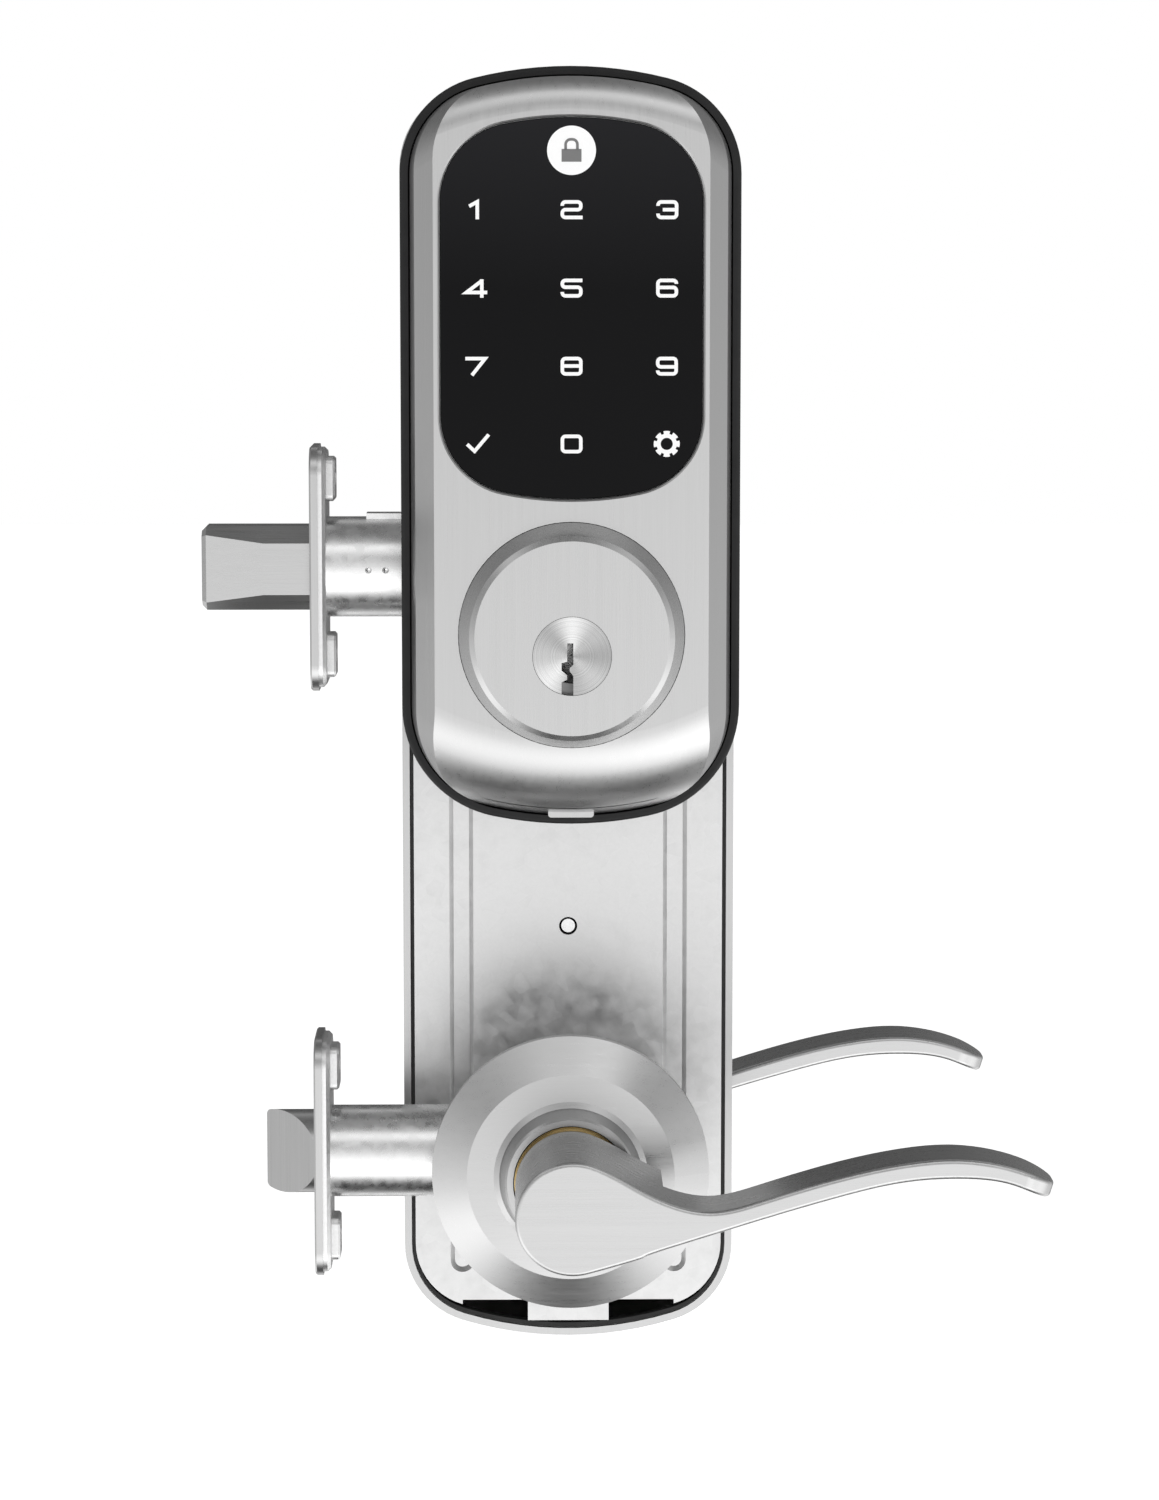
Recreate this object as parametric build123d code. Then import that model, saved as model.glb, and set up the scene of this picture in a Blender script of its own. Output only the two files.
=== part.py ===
from build123d import *
import math
import os

# Interconnected keypad lock, in millimetres.
# X runs along the door's face away from its edge, Y goes through the door from outside to inside,
# Z is up. The origin is on the lever axis, at the middle of the door's thickness.

# ---------------------------------------------------------------- door preparation
DOOR = 44.45                      # door thickness
BACKSET = 60.325                  # door edge to bore axis
BORE_R = 27.0                     # cross bore
BOLT_Z = 139.7                    # deadbolt axis above the lever axis
FACE_OUT = -DOOR / 2              # outside face of the door
FACE_IN = DOOR / 2                # inside face of the door

# ---------------------------------------------------------------- clearances
RUN = 0.05                        # radial running clearance of a shaft in its hole
GAP = 0.15                        # gap round a fitted piece that doesn't turn
FREE = 0.4                        # gap between pieces that pass each other

# ---------------------------------------------------------------- keypad housing
RIM_HALF_W = 38.5                 # half width of the black base
RIM_TOP = 254.5
RIM_BOTTOM = 82.9
RIM_TOP_R = 90.0                  # shallow arc across the top
RIM_BOTTOM_R = 88.0
RIM_TOP_CORNER = 22.0
RIM_BOTTOM_CORNER = 26.0
GASKET_T = 1.2
BASE_DEPTH = 7.6                  # base frame, front to back
BASE_FLOOR = 2.0
BASE_LIP = 1.9                    # width of the base's rim
COVER_INSET = 2.3                 # cover edge inside the base's outline
COVER_FACE = 24.8                 # flat front of the cover, out from the door
COVER_WALL = 2.0
FACET_START = 15.8                # where the steep side turns into the facet, out from the door
SIDE_DRAFT = 1.1
FACET_W = 3.9
END_FACET = 0.5                   # what the facets take off the top and bottom
CROWN_R = 9.0                     # roll along the top edge
ROLL_R = 19.64                    # roll along the bottom edge
BACKPLATE_T = 1.6

# ---------------------------------------------------------------- touch panel
LENS_HALF_W = 29.2
LENS_TOP = 242.7
LENS_BOTTOM = 158.35
LENS_ARC = 76.0
LENS_CORNER = 17.5
LENS_T = 2.2
LENS_RECESS = 0.3
LEDGE = 1.6                       # seat that the lens rests on
LEDGE_T = 1.1
BOARD_T = 1.6

# ---------------------------------------------------------------- key cylinder
GUARD_Z = 127.85                  # centre of the round guard
GUARD_R = 25.3
GUARD_LIP_R = 22.9
GUARD_FACE_R = 21.7
GUARD_OUT = 8.6                   # guard stands this far out of the cover
GUARD_WALL = 3.0
PLUG_Z = 124.0                    # key, thumbturn and deadbolt crank share this axis
PLUG_HEAD_R = 8.74
PLUG_R = 6.35
BODY_R = 15.0
BODY_LENGTH = 24.0
PIN_COUNT = 5
PIN_PITCH = 3.8
PIN_R = 1.4
CAM_R = 8.0
CAM_T = 2.4
TAIL_T = 2.4                      # tailpiece section
TAIL_W = 7.6

# ---------------------------------------------------------------- edge bolts
BOLT_TUBE_R = 11.75
PLATE_MARGIN = 0.95               # faceplate beyond the deadbolt tube, each side
PLATE_W = 2 * (BOLT_TUBE_R + PLATE_MARGIN)
PLATE_H = 57.15
PLATE_CORNER = 6.35
PLATE_T = 1.9
REAR_PLATE_T = 1.8
PLATE_SCREW_SPACING = 41.3
PLATE_SCREW_R = 2.4
CUP_R = 5.1                       # cups pressed round the screw holes
CUP_H = 2.0
BOLT_THROW = 25.4
BOLT_HALF_T = 8.5
BOLT_HALF_H = 9.8
BOLT_FLAT_H = 6.0                 # half height of the bolt's front flat
BOLT_FLAT_T = 4.4                 # half width of the bolt's top flat
BOLT_NOSE_T = 7.0                 # the nose's own front flat
BOLT_NOSE_FLAT_H = 8.0
BOLT_BODY = 39.5                  # bolt length
TUBE_WALL = 0.8
CRANK_SWING = 90.0
CRANK_PIN_R = 2.0
HUB_R = 7.5
LATCH_THROW = 12.0
LATCH_R = 9.9
LATCH_TUBE_R = 10.9
LATCH_BODY = 27.0
LATCH_SWING = 60.0
LATCH_PIN_R = 1.6
LATCH_HUB_R = 7.2
SPINDLE = 8.0                     # square lever spindles

# ---------------------------------------------------------------- outside lever set
ROSE_R = 32.3
ROSE_EDGE = 2.4
ROSE_BEVEL_R = 24.1
ROSE_BEVEL = 7.4                  # inner disc, out from the door
COLLAR_FOOT_R = 17.9
COLLAR_R = 14.8
COLLAR_OUT = 13.6
COLLAR_HOLE_R = 13.4
ROSE_WALL = 1.3
BUSH_WALL = 0.9
HUB_LEVER_R = 12.9
NECK_R = 12.2
LEVER_FRONT = 49.8                # lever's front face, out from the door
LEVER_DEPTH = 17.0                # depth of the arm
LEVER_BLOCK = 33.0                # depth of the thick part beside the hub
LEVER_BLOCK_X = 20.5
LEVER_TIP_X = 107.6

# ---------------------------------------------------------------- inside housing
CELL_R = 7.1
CELL_LENGTH = 50.0
CELL_COUNT = 4
CELL_GAP = 1.1
CELL_MARGIN = 9.4                 # housing beyond the row of cells, each side
ESC_HALF_W = CELL_COUNT * (CELL_R + CELL_GAP / 2) + CELL_MARGIN
ESC_TOP = 255.5
ESC_BOTTOM = -51.35
ESC_ARC = 88.0
ESC_CORNER = 20.0
ESC_WALL = 1.7
ESC_LOW = 28.0                    # lever end of the housing, in from the door
ESC_HIGH = 40.0                   # thumbturn and battery end
ESC_STEP_LOW = 55.0               # the face ramps up between these heights
ESC_STEP_HIGH = 92.0
ESC_END_ROLL = 10.0
COVER_SPLIT_Z = 160.0             # lower edge of the battery cover
COVER_SPLIT_Y = 12.0              # back edge of the battery cover, in from the door
SHEET = 1.5                       # galvanised mounting plate
SHEET_MARGIN = 2.65               # housing beyond the plate, each side
SHEET_HALF_W = ESC_HALF_W - SHEET_MARGIN
SHEET_BOTTOM = -44.7
SHEET_TOP = 249.0
RIB_W = 7.4
RIB_X = 25.9
RIB_H = 1.3
RIB_BOTTOM = -36.3
RIB_TOP = 100.0
SCREW_Z = 50.4                    # screw that holds the housing to the plate
KEYPAD_BOLTS = ((17.0, 155.7), (-17.0, 123.7))
ROSE_BOLTS = ((0.0, 20.5), (0.0, -20.5))
BOLT_R = 2.0                      # four identical through bolts
POST_END = 12.0                   # their threaded posts reach this far into the door

# ---------------------------------------------------------------- drive train
DRIVE_MODULE = 1.0
DRIVE_TEETH = 36
IDLER_TEETH = 12
MOTOR_MODULE = 0.7
REDUCTION_TEETH = 40
PINION_TEETH = 10
RACK_TEETH = 14                   # teeth of the retract pinion
BACKLASH = 0.35
IDLER_ANGLE = 50.0                # direction from the thumbturn axis to the idler
MOTOR_ANGLE = 135.0               # direction from the idler to the motor
MOTOR_R = 9.0


# ================================================================ helpers
def slab(face, back, front):
    """Extrudes a face drawn in X and Z from y = back to y = front."""
    near, far = min(back, front), max(back, front)
    return extrude(Plane.XZ.offset(-far) * face, amount=far - near)


def rod(x, z, radius, back, front):
    """Cylinder along Y."""
    return slab(Pos(x, z) * Circle(radius), back, front)


def tube(x, z, outer, inner, back, front):
    return slab(Pos(x, z) * (Circle(outer) - Circle(inner)), back, front)


def block(x0, x1, y0, y1, z0, z1):
    """Box from its low and high corners."""
    middle = Pos((x0 + x1) / 2, (y0 + y1) / 2, (z0 + z1) / 2)
    return middle * Box(x1 - x0, y1 - y0, z1 - z0)


def along_x(face, x0, x1):
    """Extrudes a face drawn in Y and Z from x0 to x1."""
    return extrude(Plane.YZ.offset(x0) * face, amount=x1 - x0)


def turned(points, z):
    """Revolves an outline of (radius, y) points about the Y axis at height z."""
    face = make_face(Polyline(*points, close=True))
    return Pos(0, 0, z) * revolve(face, Axis.Y)


def shield(half_w, top, bottom, top_arc, bottom_arc, top_corner, bottom_corner, inset=0.0):
    """Outline with straight sides, shallow arcs across both ends and tangent corners."""
    def end(height, arc, corner, up):
        centre = height - up * arc
        side = half_w - corner
        lift = math.sqrt((arc - corner) ** 2 - side**2)
        middle = (side, centre + up * lift)
        scale = (arc - inset) / (arc - corner)
        meet = (side * scale, centre + up * lift * scale)
        tip = (0.0, height - up * inset)
        turn = math.atan2(meet[1] - middle[1], meet[0] - middle[0]) / 2
        small = corner - inset
        bend = (middle[0] + small * math.cos(turn), middle[1] + small * math.sin(turn))
        return middle[1], meet, tip, bend

    right = half_w - inset
    high, high_meet, high_tip, high_bend = end(top, top_arc, top_corner, 1)
    low, low_meet, low_tip, low_bend = end(bottom, bottom_arc, bottom_corner, -1)

    def left(point):
        return (-point[0], point[1])

    edges = [
        ThreePointArc(left(high_meet), high_tip, high_meet),
        ThreePointArc(high_meet, high_bend, (right, high)),
        Line((right, high), (right, low)),
        ThreePointArc((right, low), low_bend, low_meet),
        ThreePointArc(low_meet, low_tip, left(low_meet)),
        ThreePointArc(left(low_meet), left(low_bend), (-right, low)),
        Line((-right, low), (-right, high)),
        ThreePointArc((-right, high), left(high_bend), left(high_meet)),
    ]
    return make_face(edges)


def rim(inset=0.0, narrow=0.0):
    """Outline of the keypad base, and with narrow its sides come in further than its ends."""
    return shield(
        RIM_HALF_W - narrow,
        RIM_TOP,
        RIM_BOTTOM,
        RIM_TOP_R,
        RIM_BOTTOM_R,
        RIM_TOP_CORNER - narrow / 2,
        RIM_BOTTOM_CORNER - narrow / 2,
        inset,
    )


def lens_outline(inset=0.0):
    return shield(
        LENS_HALF_W, LENS_TOP, LENS_BOTTOM, LENS_ARC, LENS_ARC, LENS_CORNER, LENS_CORNER, inset
    )


def housing_outline(inset=0.0):
    return shield(
        ESC_HALF_W, ESC_TOP, ESC_BOTTOM, ESC_ARC, ESC_ARC, ESC_CORNER, ESC_CORNER, inset
    )


def gear_face(module, teeth, bore, phase=0.0):
    """Flat gear with straight-flanked teeth; phase is the angle of the first tooth in degrees."""
    pitch_r = module * teeth / 2
    tip_r = pitch_r + 0.85 * module
    root_r = pitch_r - 1.1 * module
    half = math.pi * module / 4 - BACKLASH / 2
    slope = math.tan(math.radians(20))
    tip_half = (half - 0.85 * module * slope) / tip_r
    root_half = (half + 1.1 * module * slope) / root_r
    points = []
    for tooth in range(teeth):
        centre = math.radians(phase) + 2 * math.pi * tooth / teeth
        flank = ((root_r, -root_half), (tip_r, -tip_half), (tip_r, tip_half), (root_r, root_half))
        for radius, turn in flank:
            angle = centre + turn
            points.append((radius * math.cos(angle), radius * math.sin(angle)))
    face = make_face(Polyline(*points, close=True))
    return face - Circle(bore) if bore else face


def coil(radius, wire, pitch, turns, start, axis):
    """Helical spring; start is its first end's centre and axis its direction."""
    height = pitch * turns
    path = Helix(pitch, height, radius)
    section = Plane(path @ 0, z_dir=path % 0) * Circle(wire)
    spring = sweep(section, path)
    return Plane(start, z_dir=axis) * spring


# ================================================================ keypad unit
BASE_BACK = FACE_OUT - GASKET_T
BASE_FRONT = BASE_BACK - BASE_DEPTH
FLOOR_FRONT = BASE_BACK - BASE_FLOOR
BACKPLATE_FRONT = FLOOR_FRONT - BACKPLATE_T
FRONT = FACE_OUT - COVER_FACE
FACET_Y = FACE_OUT - FACET_START
LENS_FRONT = FRONT + LENS_RECESS
LENS_BACK = LENS_FRONT + LENS_T
LEDGE_BACK = LENS_BACK + LEDGE_T
GUARD_FRONT = FRONT - GUARD_OUT
BODY_FRONT = GUARD_FRONT + GUARD_WALL
BODY_BACK = BODY_FRONT + BODY_LENGTH
CAM_BACK = BODY_BACK + GAP + CAM_T
CAVITY_INSET = COVER_INSET + COVER_WALL


def keypad_gasket():
    return slab(rim(0.5) - rim(8.0), FACE_OUT, BASE_BACK)


def keypad_base():
    frame = slab(rim(), BASE_BACK, BASE_FRONT)
    edge = frame.faces().sort_by(Axis.Y)[0].outer_wire().edges()
    frame = fillet(edge, 0.9)
    frame -= slab(rim(BASE_LIP), FLOOR_FRONT, BASE_FRONT - 1)
    return frame - slab(rim(6.0), BASE_BACK + 1, BASE_FRONT - 1)


def keypad_backplate():
    plate = slab(rim(CAVITY_INSET + GAP), FLOOR_FRONT, BACKPLATE_FRONT)
    for x, z in KEYPAD_BOLTS:
        plate += rod(x, z, 3.4, FACE_OUT + POST_END, BACKPLATE_FRONT)
        plate -= rod(x, z, BOLT_R + RUN, FACE_OUT + POST_END + 1, BACKPLATE_FRONT - 1)
    plate -= rod(0, PLUG_Z, CAM_R + 1.0, 0, BACKPLATE_FRONT - 1)
    for x in (-10.0, 10.0):
        plate -= rod(x, GUARD_Z, 2.1, 0, BACKPLATE_FRONT - 1)
    return plate - slab(Pos(0, 176) * SlotOverall(24, 12), 0, BACKPLATE_FRONT - 1)


def end_roll(centre, flat_r, roll_r, z0, z1):
    """What a rolled edge takes off the cover beyond flat_r from the point (0, centre)."""
    far = flat_r + roll_r
    profile = make_face(
        [
            Line((0, FRONT), (flat_r, FRONT)),
            ThreePointArc(
                (flat_r, FRONT),
                (flat_r + roll_r * math.sin(math.pi / 4), FRONT + roll_r * (1 - math.cos(math.pi / 4))),
                (far, FRONT + roll_r),
            ),
            Line((far, FRONT + roll_r), (far, FACE_OUT)),
            Line((far, FACE_OUT), (0, FACE_OUT)),
            Line((0, FACE_OUT), (0, FRONT)),
        ]
    )
    kept = Pos(0, 0, centre) * revolve(profile, Axis.Y)
    return block(-60, 60, FRONT - 5, FRONT + roll_r, z0, z1) - kept


def keypad_cover():
    back = FLOOR_FRONT - FREE / 2
    plain = rim(COVER_INSET)
    shell = slab(plain, back, BASE_FRONT - 1.0)
    facet_foot = Plane.XZ.offset(-FACET_Y) * rim(COVER_INSET + 0.3, SIDE_DRAFT - 0.3)
    facet_top = Plane.XZ.offset(-FRONT) * rim(COVER_INSET + END_FACET, SIDE_DRAFT + FACET_W)
    foot = Plane.XZ.offset(-(BASE_FRONT - 1.0)) * plain
    shell += loft([foot, facet_foot], ruled=True)
    shell += loft([facet_foot, facet_top], ruled=True)
    top_centre = RIM_TOP - RIM_TOP_R
    bottom_centre = RIM_BOTTOM + RIM_BOTTOM_R
    shell -= end_roll(top_centre, RIM_TOP_R - COVER_INSET - 7.7, CROWN_R, 200, 270)
    shell -= end_roll(bottom_centre, RIM_BOTTOM_R - COVER_INSET - 19.3, ROLL_R, 60, 140)
    shell -= slab(rim(CAVITY_INSET), back + 1, FACET_Y + 1.0)
    deep = rim(CAVITY_INSET + 3.0) & Pos(0, 172.5) * Rectangle(80, 146)
    shell -= slab(deep, FACET_Y + 2, LEDGE_BACK)
    shell -= slab(lens_outline(-GAP), LENS_BACK, FRONT - 5)
    shell -= slab(lens_outline(LEDGE), LEDGE_BACK + 1, FRONT - 5)
    shell -= rod(0, GUARD_Z, GUARD_R + GAP, 0, FRONT - 5)
    window = [e for e in shell.edges().filter_by_position(Axis.Y, FRONT - 0.01, FRONT + 0.01)
              if LENS_BOTTOM - 1 < e.center().Z < LENS_TOP + 1 and abs(e.center().X) < LENS_HALF_W + 1]
    shell = chamfer(window, 0.45)
    notch_z = RIM_BOTTOM + COVER_INSET
    lip = block(-5.2, 5.2, BASE_FRONT - 3.2, BASE_FRONT - 0.6, notch_z - 0.3, notch_z + 1.6)
    lip = fillet(lip.edges().filter_by(Axis.Y), 0.7)
    return shell + lip


def touchscreen_lens():
    lens = slab(lens_outline(), LENS_BACK, LENS_FRONT)
    return chamfer(lens.faces().sort_by(Axis.Y)[0].edges(), 0.25)


def touch_board():
    middle = (LENS_TOP + LENS_BOTTOM) / 2
    face = Pos(0, middle) * RectangleRounded(52, LENS_TOP - LENS_BOTTOM - 8, 10)
    return slab(face, LEDGE_BACK + BOARD_T, LEDGE_BACK)


def socket(z, back, depth):
    """Open-fronted plug housing on the back of a board; depth is its direction and size."""
    shell = block(-6, 6, min(back, back + depth), max(back, back + depth), z - 3.5, z + 3.5)
    inner = back + math.copysign(1, depth)
    far = back + depth * 1.5
    return shell - block(-5, 5, min(inner, far), max(inner, far), z - 2.5, z + 2.5)


def harness_sockets():
    return [socket(175.5, LEDGE_BACK + BOARD_T, 5.0), socket(179.5, SHEET_FRONT + 4.0, -3.6)]


def cylinder_guard():
    skirt = GUARD_FRONT + 15.5
    profile = [
        (0, GUARD_FRONT),
        (GUARD_FACE_R, GUARD_FRONT),
        (GUARD_LIP_R, GUARD_FRONT + 1.0),
        (GUARD_R, FRONT - 0.2),
        (GUARD_R, skirt),
        (GUARD_R - 2.3, skirt),
        (GUARD_R - 2.3, BODY_FRONT + 2),
        (GUARD_LIP_R - 2.5, BODY_FRONT),
        (0, BODY_FRONT),
    ]
    guard = turned(profile, GUARD_Z)
    guard += tube(0, GUARD_Z, GUARD_R + 2.0, GUARD_R - 0.5, LEDGE_BACK + 2.0, LEDGE_BACK + 0.05)
    return guard - rod(0, PLUG_Z, PLUG_HEAD_R + 0.1, BODY_FRONT + 1, GUARD_FRONT - 1)


def pin_spots():
    first = BODY_FRONT + 4.4
    return [first + PIN_PITCH * pin for pin in range(PIN_COUNT)]


def pin_bore(y, radius, z0, z1):
    """Vertical cylinder over the plug's axis."""
    return Pos(0, y, (z0 + z1) / 2) * Cylinder(radius, z1 - z0)


def cylinder_body():
    body = rod(0, GUARD_Z, BODY_R, BODY_BACK, BODY_FRONT)
    body -= rod(0, PLUG_Z, PLUG_R + RUN, BODY_BACK + 1, BODY_FRONT - 1)
    for y in pin_spots():
        body -= pin_bore(y, PIN_R + GAP, PLUG_Z, GUARD_Z + BODY_R - 1.3)
    for x in (-10.0, 10.0):
        body -= rod(x, GUARD_Z, 1.65, BODY_BACK + 1, BODY_BACK - 8)
    return body


def keyway():
    """Stepped opening for the key, drawn from the plug's axis."""
    right = [(0.27, 2.9), (0.27, -1.9), (-0.55, -2.6), (-0.55, -3.3), (0.27, -4.4), (0.27, -9.5)]
    left = [(-2.35, -9.5), (-2.35, -5.8), (-1.12, -5.2), (-1.12, -4.2), (-2.35, -3.2), (-2.35, -1.5)]
    return Pos(0, PLUG_Z) * make_face(Polyline(*right, *left, (-1.12, -1.2), (-1.12, 2.9), close=True))


def plug_solid():
    plug = rod(0, PLUG_Z, PLUG_HEAD_R, BODY_FRONT, GUARD_FRONT)
    return plug + rod(0, PLUG_Z, PLUG_R, BODY_BACK, BODY_FRONT)


def key_plug():
    plug = plug_solid() - slab(keyway(), BODY_BACK - 1.5, GUARD_FRONT - 1)
    plug += rod(0, PLUG_Z, CAM_R, CAM_BACK, BODY_BACK + GAP)
    plug += rod(0, PLUG_Z, 5.0, BODY_BACK + GAP, BODY_BACK)
    plug -= slab(tail_slot(), CAM_BACK + 1, BODY_BACK + GAP)
    for y in pin_spots():
        plug -= pin_bore(y, PIN_R + GAP, PLUG_Z + 1.0, PLUG_Z + PLUG_R + 1)
    return plug


def key_pins():
    inside = rod(0, PLUG_Z, PLUG_R - GAP, BODY_BACK, BODY_FRONT)
    return [pin_bore(y, PIN_R, PLUG_Z + 3.1, PLUG_Z + PLUG_R) & inside for y in pin_spots()]


def driver_pins():
    outside = rod(0, PLUG_Z, PLUG_R + GAP, BODY_BACK, BODY_FRONT)
    return [pin_bore(y, PIN_R, PLUG_Z + 5.5, PLUG_Z + 11.0) - outside for y in pin_spots()]


def pin_springs():
    top = GUARD_Z + BODY_R - 1.3
    low = PLUG_Z + 11.0
    return [pin_bore(y, PIN_R - 0.1, low, top) - pin_bore(y, PIN_R - 0.5, low - 1, top + 1)
            for y in pin_spots()]


def cylinder_screws():
    return [rod(x, GUARD_Z, 1.6, BACKPLATE_FRONT + BACKPLATE_T, BODY_BACK - 6)
            + rod(x, GUARD_Z, 3.2, BACKPLATE_FRONT + BACKPLATE_T + 1.8, BACKPLATE_FRONT + BACKPLATE_T)
            for x in (-10.0, 10.0)]


def tail_slot():
    return Pos(0, PLUG_Z) * Rectangle(TAIL_T + 2 * 0.1, TAIL_W + 2 * 0.1)


def tailpiece():
    face = Pos(0, PLUG_Z) * Rectangle(TAIL_T, TAIL_W)
    return slab(face, GEAR_BACK + GEAR_T - 1.5, BODY_BACK + GAP + 0.3)


# ================================================================ faceplates
def plate_face(inset=0.0):
    return RectangleRounded(PLATE_W - 2 * inset, PLATE_H - 2 * inset, PLATE_CORNER - inset)


def screw_spots(z):
    half = PLATE_SCREW_SPACING / 2
    return (z - half, z + half)


def front_plate(z, hole):
    front = -BACKSET
    plate = along_x(Pos(0, z) * plate_face(), front, front + PLATE_T)
    plate = chamfer(plate.faces().sort_by(Axis.X)[0].outer_wire().edges(), 0.4)
    plate -= along_x(hole, front - 1, front + PLATE_T + 1)
    for height in screw_spots(z):
        cone = Pos(front + PLATE_T / 2, 0, height) * Rot(0, 90, 0)
        plate -= cone * Cone(4.6, 4.6 - PLATE_T, PLATE_T)
    return plate


def rear_plate(z, hole):
    front = -BACKSET + PLATE_T
    back = front + REAR_PLATE_T
    plate = along_x(Pos(0, z) * plate_face(0.8), front, back)
    plate = chamfer(plate.faces().sort_by(Axis.X)[-1].outer_wire().edges(), 0.8)
    plate -= along_x(hole, front - 1, back + 1)
    for height in screw_spots(z):
        seat = Pos(0, height)
        cup = along_x(seat * RectangleRounded(2 * CUP_R, 2 * CUP_R, 1.5), back, back + CUP_H)
        plate += chamfer(cup.faces().sort_by(Axis.X)[-1].edges(), 0.5)
        plate -= along_x(seat * Circle(PLATE_SCREW_R), front - 1, back + CUP_H + 1)
        cone = Pos(front, 0, height) * Rot(0, 90, 0)
        plate -= cone * Cone(2.9, PLATE_SCREW_R, 1.0)
    return plate


# ================================================================ deadbolt
BOLT_REST_X = -BOLT_THROW / 2                                   # crank pin when thrown
CRANK_R = BOLT_THROW / 2 / math.sin(math.radians(CRANK_SWING / 2))
CRANK_PIN_Z = PLUG_Z + CRANK_R * math.cos(math.radians(CRANK_SWING / 2))
TUBE_START = -BACKSET + PLATE_T + REAR_PLATE_T
BOLT_NOSE = -BACKSET - BOLT_THROW
BOLT_BACK = BOLT_NOSE + BOLT_BODY
CASE_START = -20.5
CASE_END = 19.5
CASE_INNER = 8.9


def bolt_face(t, fh, grow):
    """Eight-sided section: half thickness t, with a front flat of half height fh."""
    h, ft = BOLT_HALF_H, BOLT_FLAT_T
    corners = [(t, fh), (ft, h), (-ft, h), (-t, fh), (-t, -fh), (-ft, -h), (ft, -h), (t, -fh)]
    face = make_face(Polyline(*corners, close=True))
    return Pos(0, BOLT_Z) * (offset(face, amount=grow, kind=Kind.INTERSECTION) if grow else face)


def bolt_section(grow=0.0):
    return bolt_face(BOLT_HALF_T, BOLT_FLAT_H, grow)


def bolt_nose_section(grow=0.0):
    return bolt_face(BOLT_NOSE_T, BOLT_NOSE_FLAT_H, grow)


def deadbolt_bolt():
    body = along_x(bolt_section(), BOLT_NOSE + 14.5, BOLT_BACK)
    near = Plane.YZ.offset(BOLT_NOSE + 14.5) * bolt_section()
    far = Plane.YZ.offset(BOLT_NOSE) * bolt_nose_section()
    tapered = loft([near, far], ruled=True)
    nose = tapered.faces().sort_by(Axis.X)[0]
    tapered = chamfer(nose.edges(), 1.1)
    bolt = body + tapered
    return bolt - block(BOLT_BACK - 5.0, BOLT_BACK + 1, -1.3, 1.3, BOLT_Z - 4, BOLT_Z + 4)


def deadbolt_tail():
    low = CRANK_PIN_Z - CRANK_PIN_R - FREE
    high = PLUG_Z + CRANK_R + CRANK_PIN_R + FREE
    half_t = 1.2
    tail = block(BOLT_BACK - 5.0, BOLT_REST_X, -half_t, half_t, BOLT_Z - 3.9, BOLT_Z + 3.9)
    tail += block(BOLT_REST_X - 5.0, BOLT_REST_X + 5.0, -half_t, half_t, low - 1.5, high + 1.6)
    return tail - block(BOLT_REST_X - 2.75, BOLT_REST_X + 2.75, -3, 3, low, high)


def deadbolt_hub():
    hub = rod(0, PLUG_Z, HUB_R, 8.6, -8.6)
    hub += rod(0, PLUG_Z, HUB_R - 1, 11.4, -11.4)
    half = math.radians(CRANK_SWING / 2)
    pin_x = -CRANK_R * math.sin(half)
    arm = Pos(pin_x / 2, (CRANK_PIN_Z + PLUG_Z) / 2) * Rot(0, 0, 90 + CRANK_SWING / 2)
    hub += slab(arm * Rectangle(CRANK_R, 7.0), 4.8, 1.6)
    hub += rod(pin_x, CRANK_PIN_Z, 3.5, 4.8, 1.6)
    hub += rod(pin_x, CRANK_PIN_Z, CRANK_PIN_R, 4.8, -2.6)
    return hub - slab(tail_slot(), 20, -20)


def case_outline(inset):
    """Side view of the deadbolt case: a box that narrows to the hub below the bolt."""
    x0, x1, top = CASE_START + inset, CASE_END - inset, BOLT_Z + 11.7 - inset
    slope = inset * math.sqrt(2)
    waist = 9.0
    base = PLUG_Z - 4.5 + slope
    shoulder = base + (x1 + inset - waist)
    corners = [(x0, top), (x1, top), (x1, shoulder), (waist, base), (-waist, base), (x0, shoulder + 1)]
    return make_face(Polyline(*corners, close=True)) + Pos(0, PLUG_Z) * Circle(HUB_R + 2.2 - inset)


def deadbolt_case():
    wall = 1.2
    shell = slab(case_outline(0), CASE_INNER + wall, -CASE_INNER - wall)
    shell -= slab(case_outline(wall), CASE_INNER, -CASE_INNER)
    shell -= along_x(Pos(0, BOLT_Z) * Circle(8.0), CASE_START - 1, CASE_START + 3)
    return shell - rod(0, PLUG_Z, HUB_R - 1 + RUN, 20, -20)


def deadbolt_tube():
    outer, inner = Circle(BOLT_TUBE_R), Circle(BOLT_TUBE_R - TUBE_WALL)
    barrel = along_x(Pos(0, BOLT_Z) * (outer - inner), TUBE_START, CASE_START)
    rib_top = BOLT_Z + BOLT_TUBE_R + 0.9
    barrel += block(-47.4, CASE_START, -3.2, 3.2, BOLT_Z + BOLT_TUBE_R - 0.7, rib_top)
    barrel -= along_x(Pos(0, BOLT_Z) * inner, TUBE_START - 1, CASE_START + 1)
    for x in (-46.7, -42.7):
        barrel -= Pos(x, -BOLT_TUBE_R - 0.25, BOLT_Z) * Sphere(0.8)
    return barrel


def deadbolt_faceplate():
    return front_plate(BOLT_Z, bolt_section(FREE) + bolt_nose_section(FREE))


def deadbolt_backplate():
    return rear_plate(BOLT_Z, Pos(0, BOLT_Z) * Circle(BOLT_TUBE_R - TUBE_WALL))


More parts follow.
